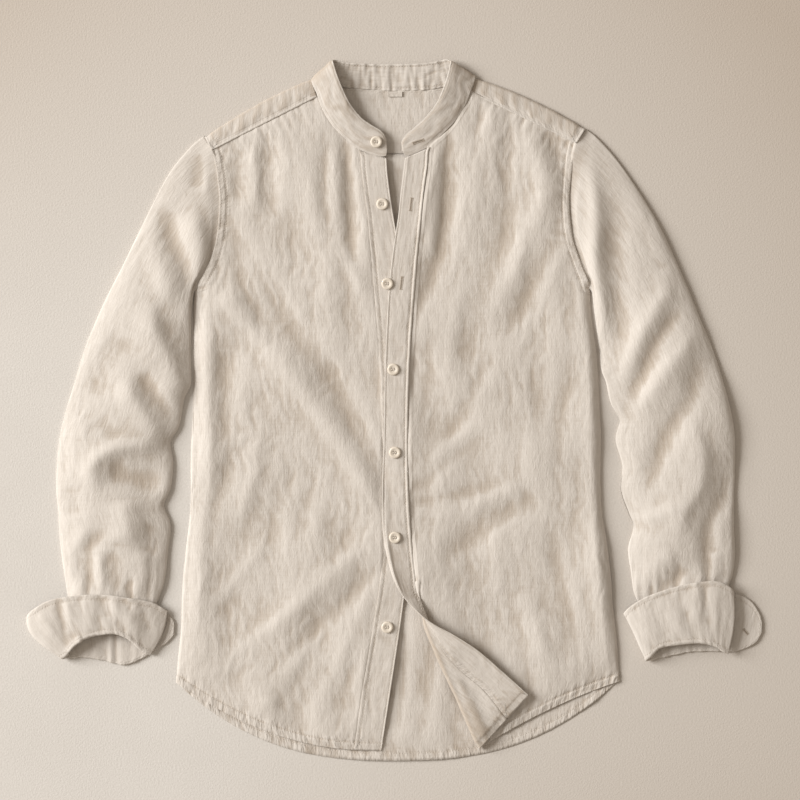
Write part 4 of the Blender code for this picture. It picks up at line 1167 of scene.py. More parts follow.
class StitchTree:
    """A Geometry Nodes tree that lays one stitch at each step of a path."""

    def __init__(self, material: bpy.types.Material) -> None:
        """Build the tree with named inputs for its sizes and a fixed seed.

        Args:
            material: the thread.
        """
        self.tree = bpy.data.node_groups.new("row of stitches", "GeometryNodeTree")
        face = self.tree.interface
        face.new_socket("Path", in_out="INPUT", socket_type="NodeSocketGeometry")
        for name in ("Pitch", "Stitch length", "Thread", "Turn"):
            face.new_socket(name, in_out="INPUT", socket_type="NodeSocketFloat")
        face.new_socket("Seed", in_out="INPUT", socket_type="NodeSocketInt")
        face.new_socket("Stitches", in_out="OUTPUT", socket_type="NodeSocketGeometry")
        given = self.node("NodeGroupInput", {}, {})
        curve = self.node("GeometryNodeMeshToCurve", {}, {"Mesh": given.outputs["Path"]})
        spaced = self.node("GeometryNodeResampleCurve", {"mode": "LENGTH"},
                           {"Curve": curve, "Length": given.outputs["Pitch"]})
        tangent = self.node("GeometryNodeInputTangent", {}, {})
        capsule = self.node("GeometryNodeMeshUVSphere", {},
                            {"Segments": 6, "Rings": 4, "Radius": 0.5})
        lay = self.node("FunctionNodeAlignRotationToVector", {"axis": "X"},
                        {"Vector": tangent})
        wobble = self.node("FunctionNodeRandomValue", {"data_type": "FLOAT"},
                           {2: -0.09, 3: 0.09, "Seed": given.outputs["Seed"]})
        swing = self.node("ShaderNodeMath", {"operation": "ADD"},
                          {0: given.outputs["Turn"], 1: wobble.outputs[1]})
        angle = self.node("ShaderNodeCombineXYZ", {}, {"Z": swing})
        local = self.node("FunctionNodeEulerToRotation", {}, {0: angle})
        turned = self.node("FunctionNodeRotateRotation", {"rotation_space": "LOCAL"},
                           {"Rotation": lay, "Rotate By": local})
        longer = self.node("FunctionNodeRandomValue", {"data_type": "FLOAT"},
                           {2: 0.88, 3: 1.1, "Seed": given.outputs["Seed"]})
        length = self.node("ShaderNodeMath", {"operation": "MULTIPLY"},
                           {0: given.outputs["Stitch length"], 1: longer.outputs[1]})
        size = self.node("ShaderNodeCombineXYZ", {}, {
            "X": length, "Y": given.outputs["Thread"], "Z": given.outputs["Thread"]})
        laid = self.node("GeometryNodeInstanceOnPoints", {}, {
            "Points": spaced, "Instance": capsule,
            "Rotation": turned, "Scale": size})
        real = self.node("GeometryNodeRealizeInstances", {}, {"Geometry": laid})
        smooth = self.node("GeometryNodeSetShadeSmooth", {}, {"Geometry": real})
        dyed = self.node("GeometryNodeSetMaterial", {},
                         {"Geometry": smooth, "Material": material})
        self.node("NodeGroupOutput", {}, {"Stitches": dyed})

    def node(self, kind: str, settings: dict, inputs: dict) -> bpy.types.Node:
        """Add a node to the tree.

        Args:
            kind: the node's type.
            settings: its own settings, set first.
            inputs: values, or sockets or nodes to link from, by socket name or number.

        Returns:
            The node.
        """
        node = self.tree.nodes.new(kind)
        for key, value in settings.items():
            setattr(node, key, value)
        for key, value in inputs.items():
            if isinstance(value, bpy.types.Node):
                value = value.outputs[0]
            if isinstance(value, bpy.types.NodeSocket):
                self.tree.links.new(value, node.inputs[key])
            else:
                node.inputs[key].default_value = value
        return node

    def sew(self, name: str, runs: list, seed: int) -> bpy.types.Object:
        """Lay stitches along paths, as one plain mesh.

        Args:
            name: the new piece's name.
            runs: pairs of a path in millimetres and its Stitching.
            seed: the tree's seed.

        Returns:
            The new object.
        """
        made = []
        for path, stitching in runs:
            if len(path) < 2:
                continue
            edges = [(i, i + 1) for i in range(len(path) - 1)]
            mesh = bpy.data.meshes.new("path")
            mesh.from_pydata((path * MM).tolist(), edges, [])
            line = bpy.data.objects.new("path", mesh)
            bpy.context.scene.collection.objects.link(line)
            rows = line.modifiers.new("stitches", "NODES")
            rows.node_group = self.tree
            values = {"Pitch": stitching.pitch * MM, "Stitch length": stitching.length * MM,
                      "Thread": stitching.thread * MM, "Turn": stitching.turn, "Seed": seed}
            for item in self.tree.interface.items_tree:
                if item.name in values:
                    rows[item.identifier] = values[item.name]
            graph = bpy.context.evaluated_depsgraph_get()
            made.append(bpy.data.meshes.new_from_object(line.evaluated_get(graph)))
            line.modifiers.remove(rows)
            bpy.data.objects.remove(line)
        return join_meshes(name, made)


def join_meshes(name: str, parts: list) -> bpy.types.Object:
    """One object from several meshes that share a material.

    Args:
        name: the object's name.
        parts: meshes.

    Returns:
        The new object, linked to the scene.
    """
    verts, faces = [], []
    for part in parts:
        start = len(verts)
        verts += [tuple(v.co) for v in part.vertices]
        faces += [tuple(start + i for i in f.vertices) for f in part.polygons]
    return new_piece(name, verts, faces, next(slot for slot in parts[0].materials if slot))


# ---- the body ----------------------------------------------------------------------------------
@dataclass
class BodyForm:
    """How high the fronts lie over the floor."""

    puff: float = 3.5
    side_roll: float = 26.0
    shoulder_roll: float = 30.0
    hem_roll: float = 45.0
    underarm: float = 145.0

    def side_gap(self, x: Array, y: Array) -> Array:
        """Distance from the nearer side edge, which opens above the underarm.

        Args:
            x: X of the places.
            y: Y of the places.

        Returns:
            The distance of each place.
        """
        right = sorted((row[1], row[0]) for row in RIGHT_FRONT[ARMHOLE_ROWS:])
        left = sorted((row[1], row[0]) for row in LEFT_FRONT[ARMHOLE_ROWS:])
        from_right = x - np.interp(y, *zip(*right))
        from_left = np.interp(y, *zip(*left)) - x
        return np.minimum(from_right, from_left) + 1.2 * np.maximum(y - self.underarm, 0.0)

    def shoulder_line(self, x: Array) -> Array:
        """Y of the nearer shoulder fold.

        Args:
            x: X of the places.

        Returns:
            The Y above each place.
        """
        lines = []
        for arm_x, arm_y, neck_x, neck_y, bow in (RIGHT_SHOULDER, LEFT_SHOULDER):
            s = np.clip((x - arm_x) / (neck_x - arm_x), 0.0, 1.0)
            lines.append(between(arm_y, neck_y, s) + bow * 4 * s * (1 - s))
        return np.where(x < 0, lines[0], lines[1])

    def height(self, x: Array, y: Array) -> Array:
        """Middle of the fronts' wall at places in plan.

        Args:
            x: X of the places.
            y: Y of the places.

        Returns:
            The height of each place.
        """
        roll = np.where(x < 0, self.side_roll, self.side_roll * 0.6)
        rise = round_over(self.side_gap(x, y), roll)
        rise = rise * round_over((self.shoulder_line(x) - y) * 0.88, self.shoulder_roll)
        rise = rise * round_over(y - np.interp(x, *zip(*HEM)), self.hem_roll)
        return FRONT_PLY + rise * not_below(self.puff + relief(BODY_CREASES, x, y), 0.4, 0.8)


BODY = BodyForm()


def section(table: tuple, numbers: Array, shares: Array, power: float = 2.0) -> Array:
    """Places in plan across the sections of a front or the back.

    Args:
        table: the piece's table of sections.
        numbers: row numbers, as a column.
        shares: from 0 at the section's start to 1 at its end.
        power: how round the sag is; 2 is a parabola.

    Returns:
        An array of rows x columns x 2.
    """
    rows = on_table(table, numbers)
    drop = rows[..., 4] * (1.0 - np.abs(2.0 * np.clip(shares, 0.0, 1.0) - 1.0) ** power)
    x = between(rows[..., 0], rows[..., 2], shares)
    return np.stack((x, between(rows[..., 1], rows[..., 3], shares) - drop), axis=-1)


def edge_path(table: tuple, start: float, stop: float) -> Array:
    """A path in plan down the first end of a table's sections: an armhole or a side edge."""
    numbers = np.linspace(start, stop, 160)
    return section(table, numbers, np.zeros_like(numbers))


def row_path(table: tuple, row: float) -> Array:
    """A path in plan along one section of a table: a hem or a shoulder seam."""
    shares = np.linspace(0.0, 1.0, 160)
    return section(table, np.full_like(shares, row), shares)


@dataclass
class Front:
    """What both fronts share: an armhole, a shoulder seam and a curved hem."""

    table: tuple
    armhole: Seam
    hem: Seam
    seed: int                   # of its crinkles
    gather_seed: int            # of the gathers below its shoulder seam
    columns: int
    rows: int = 320
    sheet: Sheet = field(init=False)

    def row_numbers(self) -> tuple[Array, Array]:
        """Row numbers of the grid in the table, as a column, and the sections' lengths.

        Returns:
            Both, as columns.
        """
        down = crowded(self.rows, 0.4, 2.2, 0.02)
        numbers = even_numbers(self.table, ((0, 1), (2, 3)), down)[:, None]
        rows = on_table(self.table, numbers)
        return numbers, np.hypot(rows[..., 2] - rows[..., 0], rows[..., 3] - rows[..., 1])

    def dress(self, numbers: Array, along_hem: Array, fade: Array | float,
              calm: Array | float) -> None:
        """Raise the seams, the crinkles and the gathers.

        Args:
            numbers: the rows' numbers in the table, as a column.
            along_hem: how far along the hem each place is.
            fade: share of the crinkles at each place.
            calm: share of all the relief at each place.
        """
        places = self.sheet.places
        self.armhole_rows = int((numbers < ARMHOLE_ROWS).sum())
        self.armhole_away, along = to_path(places, edge_path(self.table, 0, ARMHOLE_ROWS))
        beyond = 60 * (numbers > ARMHOLE_ROWS + 0.3)
        self.sheet.near((self.armhole_away + beyond, along, ARMHOLE_BAND, 0.6),
                        (self.hem_away, along_hem, HEM_BAND, 1.0))
        height = Crinkle(self.seed).at(self.sheet.cloth)
        height = height * (0.35 + 0.65 * ease(self.hem_away / 14)) * fade
        height += self.armhole.at(self.armhole_away, along) * (numbers < ARMHOLE_ROWS + 0.5)
        height += self.hem.at(self.hem_away, along_hem)
        height = height * (0.1 + 0.9 * ease(to_path(places, row_path(self.table, 0.0))[0] / 7.0))
        height += shoulder_gathers(places, self.table, self.gather_seed)
        self.sheet.raise_by(height * calm * edge_calm(self.armhole_away, numbers))

    def paths(self) -> list:
        """Paths of its stitches.

        Returns:
            The paths, on its right side.
        """
        above = slice(0, self.armhole_rows)
        lines = [self.sheet.line(self.armhole_away, away, above)
                 for away in (EDGE_STITCH, ARMHOLE_BAND)]
        return lines + [hem_line(self.sheet, self.hem_away, HEM_BAND)]


@dataclass
class RightFront(Front):
    """The wearer's right front: it lies under the button stand along its centre."""

    table: tuple = RIGHT_FRONT
    armhole: Seam = Seam(ARMHOLE_BAND, 0.45, 0.45, 0.28, 7.5, 11)
    hem: Seam = Seam(HEM_BAND, 0.4, 0.6, 0.62, 7.5, 12)
    seed: int = 21
    gather_seed: int = 31
    columns: int = 125

    def shape(self) -> None:
        """Lay out the grid and raise its seams and creases."""
        numbers, length = self.row_numbers()
        shares = crowded(self.columns, 1.6, 0.0, 0.07)[None] * (1.0 + COVERED / length)
        plan = section(self.table, numbers, shares)
        seam = (1.0 - shares) * length
        z = BODY.height(plan[..., 0], plan[..., 1]) - UNDER_STEP * (1.0 - ease((seam + 2.2) / 3.0))
        z = wrap_side(plan, z, self.table)
        self.sheet = Sheet("right_front", np.dstack((plan, z)), plan.copy())
        self.hem_away, along_hem = to_path(plan, row_path(self.table, len(self.table) - 1.0))
        self.dress(numbers, along_hem, ease((seam + 4) / 8), 1.0)


def hem_line(sheet: Sheet, away: Array, distance: float) -> Array:
    """Where the distance from the hem reaches a value in each column, on the right side."""
    turned = Sheet(sheet.name, sheet.places.transpose(1, 0, 2)[:, ::-1], sheet.cloth,
                   sheet.outward, wall=sheet.wall)
    return turned.line(away.T[:, ::-1], distance)


def wrap_side(plan: Array, z: Array, table: tuple) -> Array:
    """Bend a front's side edge down round the back's, below the underarm."""
    away, _ = to_path(plan, edge_path(table, ARMHOLE_ROWS, len(table) - 1))
    return z - 1.3 * np.clip(1.0 - away / 3.0, 0.0, 1.0) ** 2


def shoulder_gathers(plan: Array, table: tuple, seed: int) -> Array:
    """Small gathers below the front seam of the yoke, and the dip of the edge under it.

    Args:
        plan: places, with X and Y first.
        table: the front's table of sections.
        seed: picks the gathers.

    Returns:
        The height that they add.
    """
    away, along = to_path(plan, row_path(table, 0.0))
    fold = grain(along / 9.0, away / 40.0, seed) + 0.6 * grain(along / 5.0, away / 26.0, seed + 1)
    dip = 0.3 * UNDER_STEP * (1.0 - ease((away - 0.6) / 2.0))
    return 0.85 * fold * np.exp(-away / 22.0) * ease(away / 3.0) - dip


def edge_calm(away: Array, numbers: Array) -> Array:
    """Less relief right at the armhole, where the sleeve is sewn on."""
    return np.where(numbers < ARMHOLE_ROWS + 1, 0.4 + 0.6 * ease(away / 3.0), 1.0)


@dataclass
class Strip:
    """What both strips down the centre share: a sewn edge, a folded edge and a hem."""

    band: float                 # from its sewn edge to the stitches
    fold: float                 # height of the tuck along that edge
    seeds: tuple                # of its crinkles, sewn edge, folded edge and hem
    rows: int
    columns: int = 38
    width: float = 32.0
    sheet: Sheet = field(init=False)

    def dress(self, rolled: Array | float, calm: Array | float) -> None:
        """Raise the seams and crinkles.

        Args:
            rolled: 0 where it lies on its front and 1 where it is folded back with it.
            calm: share of the relief at each place.
        """
        away, bottom = self.width - self.u, np.abs(self.v - self.v.min())
        self.sheet.near((self.u, self.v, self.band, 0.3 + 0.5 * rolled),
                        (away, self.v + 900, FREE_BAND, 0.15), (bottom, self.u, HEM_BAND, 0.7))
        crinkle, sewn, folded, hem = self.seeds
        height = Crinkle(crinkle, 0.30, 0.34).at(self.sheet.cloth)
        height += tuck(self.u, self.fold) * (1 - rolled)
        sewing = Seam(self.band, 0.0, 0.2, 0.15, 9.0, sewn).at(self.u, self.v)
        height += sewing * (1 + 0.6 * rolled)
        height += rim(away) + Seam(FREE_BAND, 0.0, 0.2, 0.10, 9.0, folded).at(away, self.v)
        height += Seam(HEM_BAND, 0.4, 0.4, 0.3, 7.0, hem).at(bottom, self.u)
        self.sheet.raise_by(height * calm_at_buttons(self.sheet.places) * calm)


@dataclass
class ButtonStand(Strip):
    """The strip of the right front that carries the buttons."""

    band: float = 4.6
    fold: float = 0.1
    seeds: tuple = (43, 41, 44, 45)
    rows: int = 300

    def shape(self) -> None:
        """Lay out the grid and raise its seams and creases."""
        numbers = even_numbers(STAND_EDGE, ((0, 1),), self.rows)[:, None]
        seam = on_table(RIGHT_FRONT, numbers + NECK_ROW)
        edge = on_table(STAND_EDGE, numbers)
        shares = crowded(self.columns, 1.6, 1.6, 0.16)[None]
        x = between(seam[..., 2], edge[..., 0], shares)
        y = between(seam[..., 3], edge[..., 1], shares)
        places = np.dstack((x, y, BODY.height(x, y) + 0.35))
        self.v = -run_length(places[:, 0])[:, None] + np.zeros_like(shares)
        self.u = shares * self.width + np.zeros_like(self.v)
        self.sheet = Sheet("button_stand", places, np.dstack((self.u, self.v)), wall=STRIP_WALL)
        self.dress(0.0, 1.0)

    def paths(self) -> list:
        """Paths of its stitches.

        Returns:
            The paths, on its right side.
        """
        rows = slice(0, self.rows - 3)
        lines = [self.sheet.line(self.u, u, rows) for u in (self.band, self.width - FREE_BAND)]
        return lines + [self.sheet.along_rows(self.rows - 1 - HEM_BAND / self.pitch())]

    def pitch(self) -> float:
        """Length of one row of the grid."""
        return float(self.v[0, 0] - self.v[-1, 0]) / (self.rows - 1)


def tuck(away: Array, high: float) -> Array:
    """A narrow raised fold along a seam, with a groove beside it."""
    groove = 0.6 * high * np.exp(-((away - 3.5) / 0.8) ** 2)
    return high * np.exp(-((away - 1.4) / 1.1) ** 2) - groove


def rim(away: Array) -> Array:
    """The small roll of a folded edge."""
    return 0.3 * np.exp(-((away - 0.7) / 0.9) ** 2)


BUTTON_PLACES = ((-24, 316), (-17, 243), (-11, 149), (-4, 48), (-2, -50), (-2, -150), (-11, -256))


def calm_at_buttons(places: Array) -> Array:
    """0.25 under each button, rising to 1 beside it.

    Args:
        places: places, with X and Y first.

    Returns:
        The share of the relief that is left.
    """
    calm = np.ones(places.shape[:-1])
    for x, y in BUTTON_PLACES:
        distance = np.hypot(places[..., 0] - x, places[..., 1] - y)
        calm = np.minimum(calm, 0.25 + 0.75 * ease((distance - 6.0) / 7.0))
    return calm


def rolled_share(numbers: Array) -> Array:
    """0 above the row where the left front's edge starts to roll back, and 1 soon below it."""
    return ease((numbers - ROLL_ROW) / 0.8)


@dataclass
class LeftFront(Front):
    """The wearer's left front, its lower corner rolled back over itself."""

    table: tuple = LEFT_FRONT
    armhole: Seam = Seam(ARMHOLE_BAND, 0.45, 0.6, 0.34, 7.5, 51)
    hem: Seam = Seam(HEM_BAND, 0.4, 0.6, 0.62, 7.5, 52)
    seed: int = 61
    gather_seed: int = 63
    columns: int = 100
    roll_columns: int = 10
    turned_columns: int = 16

    def shape(self) -> None:
        """Lay out the grid, its rolled corner last, and raise its seams and creases."""
        numbers, length = self.row_numbers()
        self.numbers = numbers[:, 0]
        rolled = rolled_share(numbers)
        reach = 1.0 - 5.0 * (1.0 - rolled) / length
        shares = crowded(self.columns, 1.6, 0.0, 0.09)[None] * reach
        plan = section(self.table, numbers, shares)
        over_stand = NEXT_PLY * (1.0 - ease((1.0 - shares) * length / 30.0)) * (1.0 - rolled)
        z = wrap_side(plan, BODY.height(plan[..., 0], plan[..., 1]) + over_stand, self.table)
        flat = np.dstack((plan, z))
        hidden = self.hidden_edge(numbers, length, reach)
        turned = self.turned_corner(numbers, flat[:, -1:])
        places = np.concatenate((flat, between(hidden, turned, rolled[..., None])), axis=1)
        run = run_length(places[:, self.columns - 1:], axis=1)[:, 1:]
        side, fold = flat[:, :1, :2], flat[:, -1:, :2]
        onward = (fold - side) / np.linalg.norm(fold - side, axis=-1, keepdims=True)
        cloth = np.concatenate((plan, fold + onward * run[..., None]), axis=1)
        self.sheet = Sheet("left_front", places, cloth, outward=-1.0)
        down, across = run_length(places, axis=0), run_length(places, axis=1)
        self.hem_away = down[-1:] - down
        last = across[:, -1:] - across
        calm = np.where(numbers > ROLL_ROW + 0.2, 0.5 + 0.5 * ease(last / 6), ease((last - 1) / 8))
        self.dress(numbers, across, 1.0, calm)

    def hidden_edge(self, numbers: Array, length: Array, reach: Array) -> Array:
        """The last columns above the fold: the edge that is sewn under the placket.

        Args:
            numbers: the rows' numbers, as a column.
            length: length of each section.
            reach: share of it where the columns start.

        Returns:
            Places of the last columns.
        """
        count = self.roll_columns + self.turned_columns
        step = np.linspace(0.0, 1.0, count + 1)[None, 1:]
        shares = between(reach, 1.0 + COVERED / length, step)
        plan = section(LEFT_FRONT, numbers, shares)
        seam = (1.0 - shares) * length
        z = BODY.height(plan[..., 0], plan[..., 1]) + NEXT_PLY
        return np.dstack((plan, z - UNDER_STEP * (1.0 - ease((seam + 1.0) / 3.0))))

    def turned_corner(self, numbers: Array, fold: Array) -> Array:
        """The last columns below it: round the roll and back over the panel.

        Args:
            numbers: the rows' numbers, as a column.
            fold: the last places of the flat panel.

        Returns:
            Places of the last columns.
        """
        first = len(LEFT_FRONT) - len(TURNED)
        turn = on_table(TURNED, np.maximum(numbers - first, 0.0))
        end, lift = turn[..., :2], turn[..., 2]
        run = end - fold[..., :2]
        length = np.maximum(np.linalg.norm(run, axis=-1), 1e-6)
        away = run / length[..., None]
        out = np.minimum(0.45 * lift, length / 2)
        angle = np.linspace(-math.pi / 2, math.pi / 2, self.roll_columns + 1)[None, 1:]
        past = out * (np.cos(angle) - 0.5 * ease(angle / math.pi + 0.5))
        roll_plan = fold[..., :2] - away * past[..., None]
        base = fold[..., 2]
        roll_z = base + lift * 0.5 * (1.0 + np.sin(angle))
        step = np.linspace(0.0, 1.0, self.turned_columns + 1)[None, 1:]
        start = fold[..., :2] + away * out[..., None] * 0.5
        flat_plan = between(start, end, step[..., None])
        resting = BODY.height(end[..., 0], end[..., 1]) + lift
        swell = 1.7 * np.exp(-((step * length - 11.0) / 7.0) ** 2) - 0.8 * np.sin(math.pi * step)
        flat_z = between(base + lift, resting, step) + swell * np.minimum(length / 40.0, 1.0)
        roll = np.dstack((roll_plan, roll_z))
        return np.concatenate((roll, np.dstack((flat_plan, flat_z))), axis=1)

    def seam_end(self, at: Array) -> Array:
        """The last column's places at row numbers of the table."""
        edge = self.sheet.places[:, -1]
        return np.stack([np.interp(at, self.numbers, edge[:, k]) for k in range(3)], axis=-1)


@dataclass
class Placket(Strip):
    """The strip with the buttonholes, folded back with the corner of its front."""

    band: float = 4.8
    fold: float = 0.5
    seeds: tuple = (71, 72, 73, 74)
    rows: int = 290

    def shape(self, front: LeftFront) -> None:
        """Lay out the grid from the front's edge to the free edge.

        Args:
            front: the front that it is sewn to, already shaped.
        """
        even = even_numbers(LEFT_FRONT, ((2, 3),), self.rows, NECK_ROW)
        at_roll = np.linspace(ROLL_ROW - 0.1, ROLL_ROW + 2.9, 40)
        numbers = np.sort(np.concatenate((even, at_roll)))[:, None]
        self.rows = len(numbers)
        edge = on_table(PLACKET_EDGE, numbers - NECK_ROW)
        seam = front.seam_end(numbers[:, 0])
        flat_seam = on_table(LEFT_FRONT, numbers)
        rolled = rolled_share(numbers)
        seam[:, :2] = between(flat_seam[:, 0, 2:4], seam[:, :2], rolled)
        shares = crowded(self.columns, 1.6, 1.6, 0.16)[None]
        x = between(seam[:, None, 0], edge[..., 0], shares)
        y = between(seam[:, None, 1], edge[..., 1], shares)
        from_edge = self.width * (1.0 - shares)
        curl = np.clip(edge[..., 2] / 1.5, 0.0, 1.0) * (
            1.7 * ease(1.0 - from_edge / 3.2) - 1.1 * np.exp(-((from_edge - 3.6) / 2.4) ** 2))
        lying = BODY.height(x, y) + NEXT_PLY + 0.35 + edge[..., 2] * shares * shares - curl
        top = BODY.height(edge[..., 0], edge[..., 1]) + NEXT_PLY + edge[..., 2]
        turned = between(seam[:, None, 2], top, shares)
        z = between(lying, turned, rolled)
        bulge = np.exp(-((numbers - ROLL_ROW - 0.95) / 0.55) ** 2) * np.sin(math.pi * shares)
        places = np.dstack((x - 2.6 * bulge, y - 1.6 * bulge, z + 2.4 * bulge))
        v = -run_length(np.stack((flat_seam[:, 0, 2], flat_seam[:, 0, 3]), -1))[:, None]
        self.u, self.v = shares * self.width + np.zeros_like(v), v + np.zeros_like(shares)
        cloth = np.dstack((self.u, self.v))
        self.sheet = Sheet("buttonhole_placket", places, cloth, -1.0, wall=STRIP_WALL)
        narrow = np.linalg.norm(places[:, -1, :2] - places[:, 0, :2], axis=-1)[:, None]
        self.dress(rolled, np.clip(narrow / self.width, 0.15, 1.0))

    def paths(self) -> list:
        """Paths of its stitches.

        Returns:
            The paths, on its right side.
        """
        lines = [self.sheet.line(self.u, u) for u in (self.band, self.width - FREE_BAND)]
        row = int(np.searchsorted(-self.v[:, 0], -(self.v.min() + HEM_BAND)))
        return lines + [self.sheet.along_rows(row)]


@dataclass
class Back:
    """The back panel, flat on the surface, with its curved tail."""

    rows: int = 80
    columns: int = 160
    tail_lift: float = 2.2      # of the cloth between the parted fronts
    hem: Seam = Seam(HEM_BAND, 0.3, 0.5, 0.62, 8.0, 82)
    sheet: Sheet = field(init=False)

    def shape(self) -> None:
        """Lay out the grid and raise its hem."""
        numbers = even_numbers(BACK, ((0, 1), (2, 3)), crowded(self.rows, 0.0, 4.0, 0.05))[:, None]
        shares = (1.0 - np.cos(np.linspace(0.0, math.pi, self.columns)))[None] / 2
        plan = section(BACK, numbers, shares, 2.6)
        centre = 2.0 * shares - 1.0
        inset = 1.6 * ease(numbers - ARMHOLE_ROWS + 1)
        plan[..., 0] -= inset * np.sign(centre) * np.abs(centre) ** 8
        down = run_length(plan, axis=0)
        self.hem_away = down[-1:] - down
        shown = np.exp(-((plan[..., 0] - 25.0) / 50.0) ** 2) * ease((-190.0 - plan[..., 1]) / 60.0)
        z = FLOOR_PLY + self.tail_lift * shown * ease((self.hem_away - 8.0) / 30.0)
        self.sheet = Sheet("back", np.dstack((plan, z)), plan.copy())
        self.sheet.near((self.hem_away, run_length(plan, axis=1), HEM_BAND, 1.0))
        height = Crinkle(83, 0.50, 0.55).at(self.sheet.cloth)
        height += relief(TAIL_CREASES, plan[..., 0], plan[..., 1])
        height += self.hem.at(self.hem_away, run_length(plan, axis=1))
        self.sheet.raise_by(np.clip(height, FLOOR_PLY - 0.12 - z, 1.3))

    def paths(self) -> list:
        """Paths of its stitches."""
        return [hem_line(self.sheet, self.hem_away, HEM_BAND)]


# ---- the yoke ----------------------------------------------------------------------------------
@dataclass
class Yoke:
    """One-piece back yoke that folds over both shoulders to the seam in front."""

    stations: int = 90
    neck_rows: int = 90
    flat_columns: int = 30
    fold_columns: int = 34
    sheet: Sheet = field(init=False)

    def over_shoulder(self, shoulder: tuple, front: tuple) -> Array:
        """Rows up the back of a shoulder, round its fold and down to the front seam.

        Args:
            shoulder: its row of sizes.
            front: the first section of the front's table.

        Returns:
            Places of its rows, from the armhole to the neck.
        """
        arm_x, arm_y, neck_x, neck_y, bow = shoulder
        s = np.linspace(0.0, 1.0, self.stations)[:, None]
        fold_x = between(arm_x, neck_x, s)
        fold_y = between(arm_y, neck_y, s) + bow * 4 * s * (1 - s)
        inward = -math.copysign(1.0, arm_x)
        end_x = between(front[0], front[2], s)
        end_y = between(front[1], front[3], s) - 2.2
        lean = (end_x - fold_x) / (end_y - fold_y)
        at = np.linspace(0.0, len(ROUND_FOLD) - 1.0, self.fold_columns - 12)
        inside, level = np.moveaxis(on_table(ROUND_FOLD, at), -1, 0)
        round_x, round_y = fold_x - inside * lean, fold_y - inside
        round_z = level + np.zeros_like(s)
        foot = np.dstack((fold_x + inward * between(YOKE_SLANT, 1.0, s),
                          np.full_like(s, YOKE_FOOT), np.full_like(s, FLOOR_PLY)))
        fold = np.dstack((round_x, round_y, round_z))
        step = np.linspace(0.0, 1.0, self.flat_columns, endpoint=False)[None, :, None]
        flat = between(foot, fold[:, :1], step)
        down = np.linspace(0.0, 1.0, 13)[None, 1:]
        last_x = between(round_x[:, -1:], end_x, down)
        last_y = between(round_y[:, -1:], end_y, down)
        seam_z = BODY.height(end_x, end_y) + 0.12
        length = np.hypot(end_x - fold_x, end_y - fold_y)
        crown = 0.9 * np.sin(math.pi * down) * ease(1.3 * length / 12)
        last_z = between(round_z[:, -1:], seam_z, down) + crown
        return np.concatenate((flat, fold, np.dstack((last_x, last_y, last_z))), axis=1)

    def shape(self) -> None:
        """Lay out both shoulders and the flat neck between them, and crease them."""
        right = self.over_shoulder(RIGHT_SHOULDER, RIGHT_FRONT[0])
        left = self.over_shoulder(LEFT_SHOULDER, LEFT_FRONT[0])[::-1]
        at = np.linspace(0.0, len(NECK_EDGE) - 1.0, self.neck_rows)
        neck_edge = on_table(NECK_EDGE, at)[:, None]
        kept_columns = self.flat_columns + 12
        step = np.linspace(0.0, 1.0, kept_columns)[None]
        y = between(YOKE_FOOT, neck_edge[..., 1], step)
        x = neck_edge[..., 0] + np.zeros_like(step)
        neck = np.dstack((x, y, np.full_like(x, FLOOR_PLY)))
        spare = right.shape[1] - kept_columns
        beyond = np.repeat(neck[:, -1:], spare, axis=1)
        beyond[..., 1] += np.linspace(0.1, 2.0, spare)[None]
        neck = np.concatenate((neck, beyond), axis=1)
        places = np.concatenate((right, neck, left), axis=0)
        kept = np.ones(places.shape[:2], bool)
        kept[self.stations:self.stations + self.neck_rows, kept_columns:] = False
        across = run_length(places, axis=1)
        cloth = np.dstack((places[..., 0], across))
        self.sheet = Sheet("yoke", places, cloth, kept=kept)
        self.front_away = across[:, -1:] - across
        self.along = places[..., 0]
        ends = [to_path(places, places[row]) for row in (0, -1)]
        arm = np.minimum(ends[0][0], ends[1][0]), ends[0][1] + ends[1][1]
        self.sheet.near((np.maximum(self.front_away, 0.4), self.along, 5.0, 0.5),
                        (*arm, ARMHOLE_BAND, 0.5))
        height = Crinkle(91, 0.36, 0.24).at(cloth)
        gathers = grain(self.along / 8.5, self.front_away / 16, 92)
        height += 1.1 * np.exp(-self.front_away / 12.0) * gathers
        shoulder = np.ones(len(places))
        shoulder[self.stations:self.stations + self.neck_rows] = 0.0
        under = np.arange(places.shape[1]) < self.flat_columns + 10
        height = np.where(under[None], np.clip(height, -0.1, 0.5), height)
        front = Seam(EDGE_STITCH, 0.25, 0.15, 0.15, 8.0, 93).at(self.front_away, self.along)
        height += front * shoulder[:, None]
        height += Seam(ARMHOLE_BAND, 0.3, 0.5, 0.2, 7.5, 94).at(*arm) * ~under[None]
        height = height * (0.1 + 0.9 * ease(self.front_away / 6.0))
        height -= 1.1 * np.exp(-(np.minimum(self.front_away, arm[0] + 9.0 * under) / 0.8) ** 2)
        self.sheet.raise_by(height)

    def paths(self) -> list:
        """Paths of its stitches.

        Returns:
            The paths, on its right side.
        """
        ends = (slice(1, self.stations - 1), slice(self.stations + self.neck_rows + 1, -1))
        lines = [self.sheet.line(-self.front_away, -away, rows)
                 for rows in ends for away in (EDGE_STITCH, 4.6)]
        neck = slice(self.stations, self.stations + self.neck_rows)
        lines.append(self.sheet.down_columns(2.0, neck))
        last = len(self.sheet.places) - 1.0
        shown = slice(self.flat_columns + 2, -1)
        return lines + [self.sheet.along_rows(row, shown)
                        for row in (1.0, 5.4, last - 5.4, last - 1.0)]


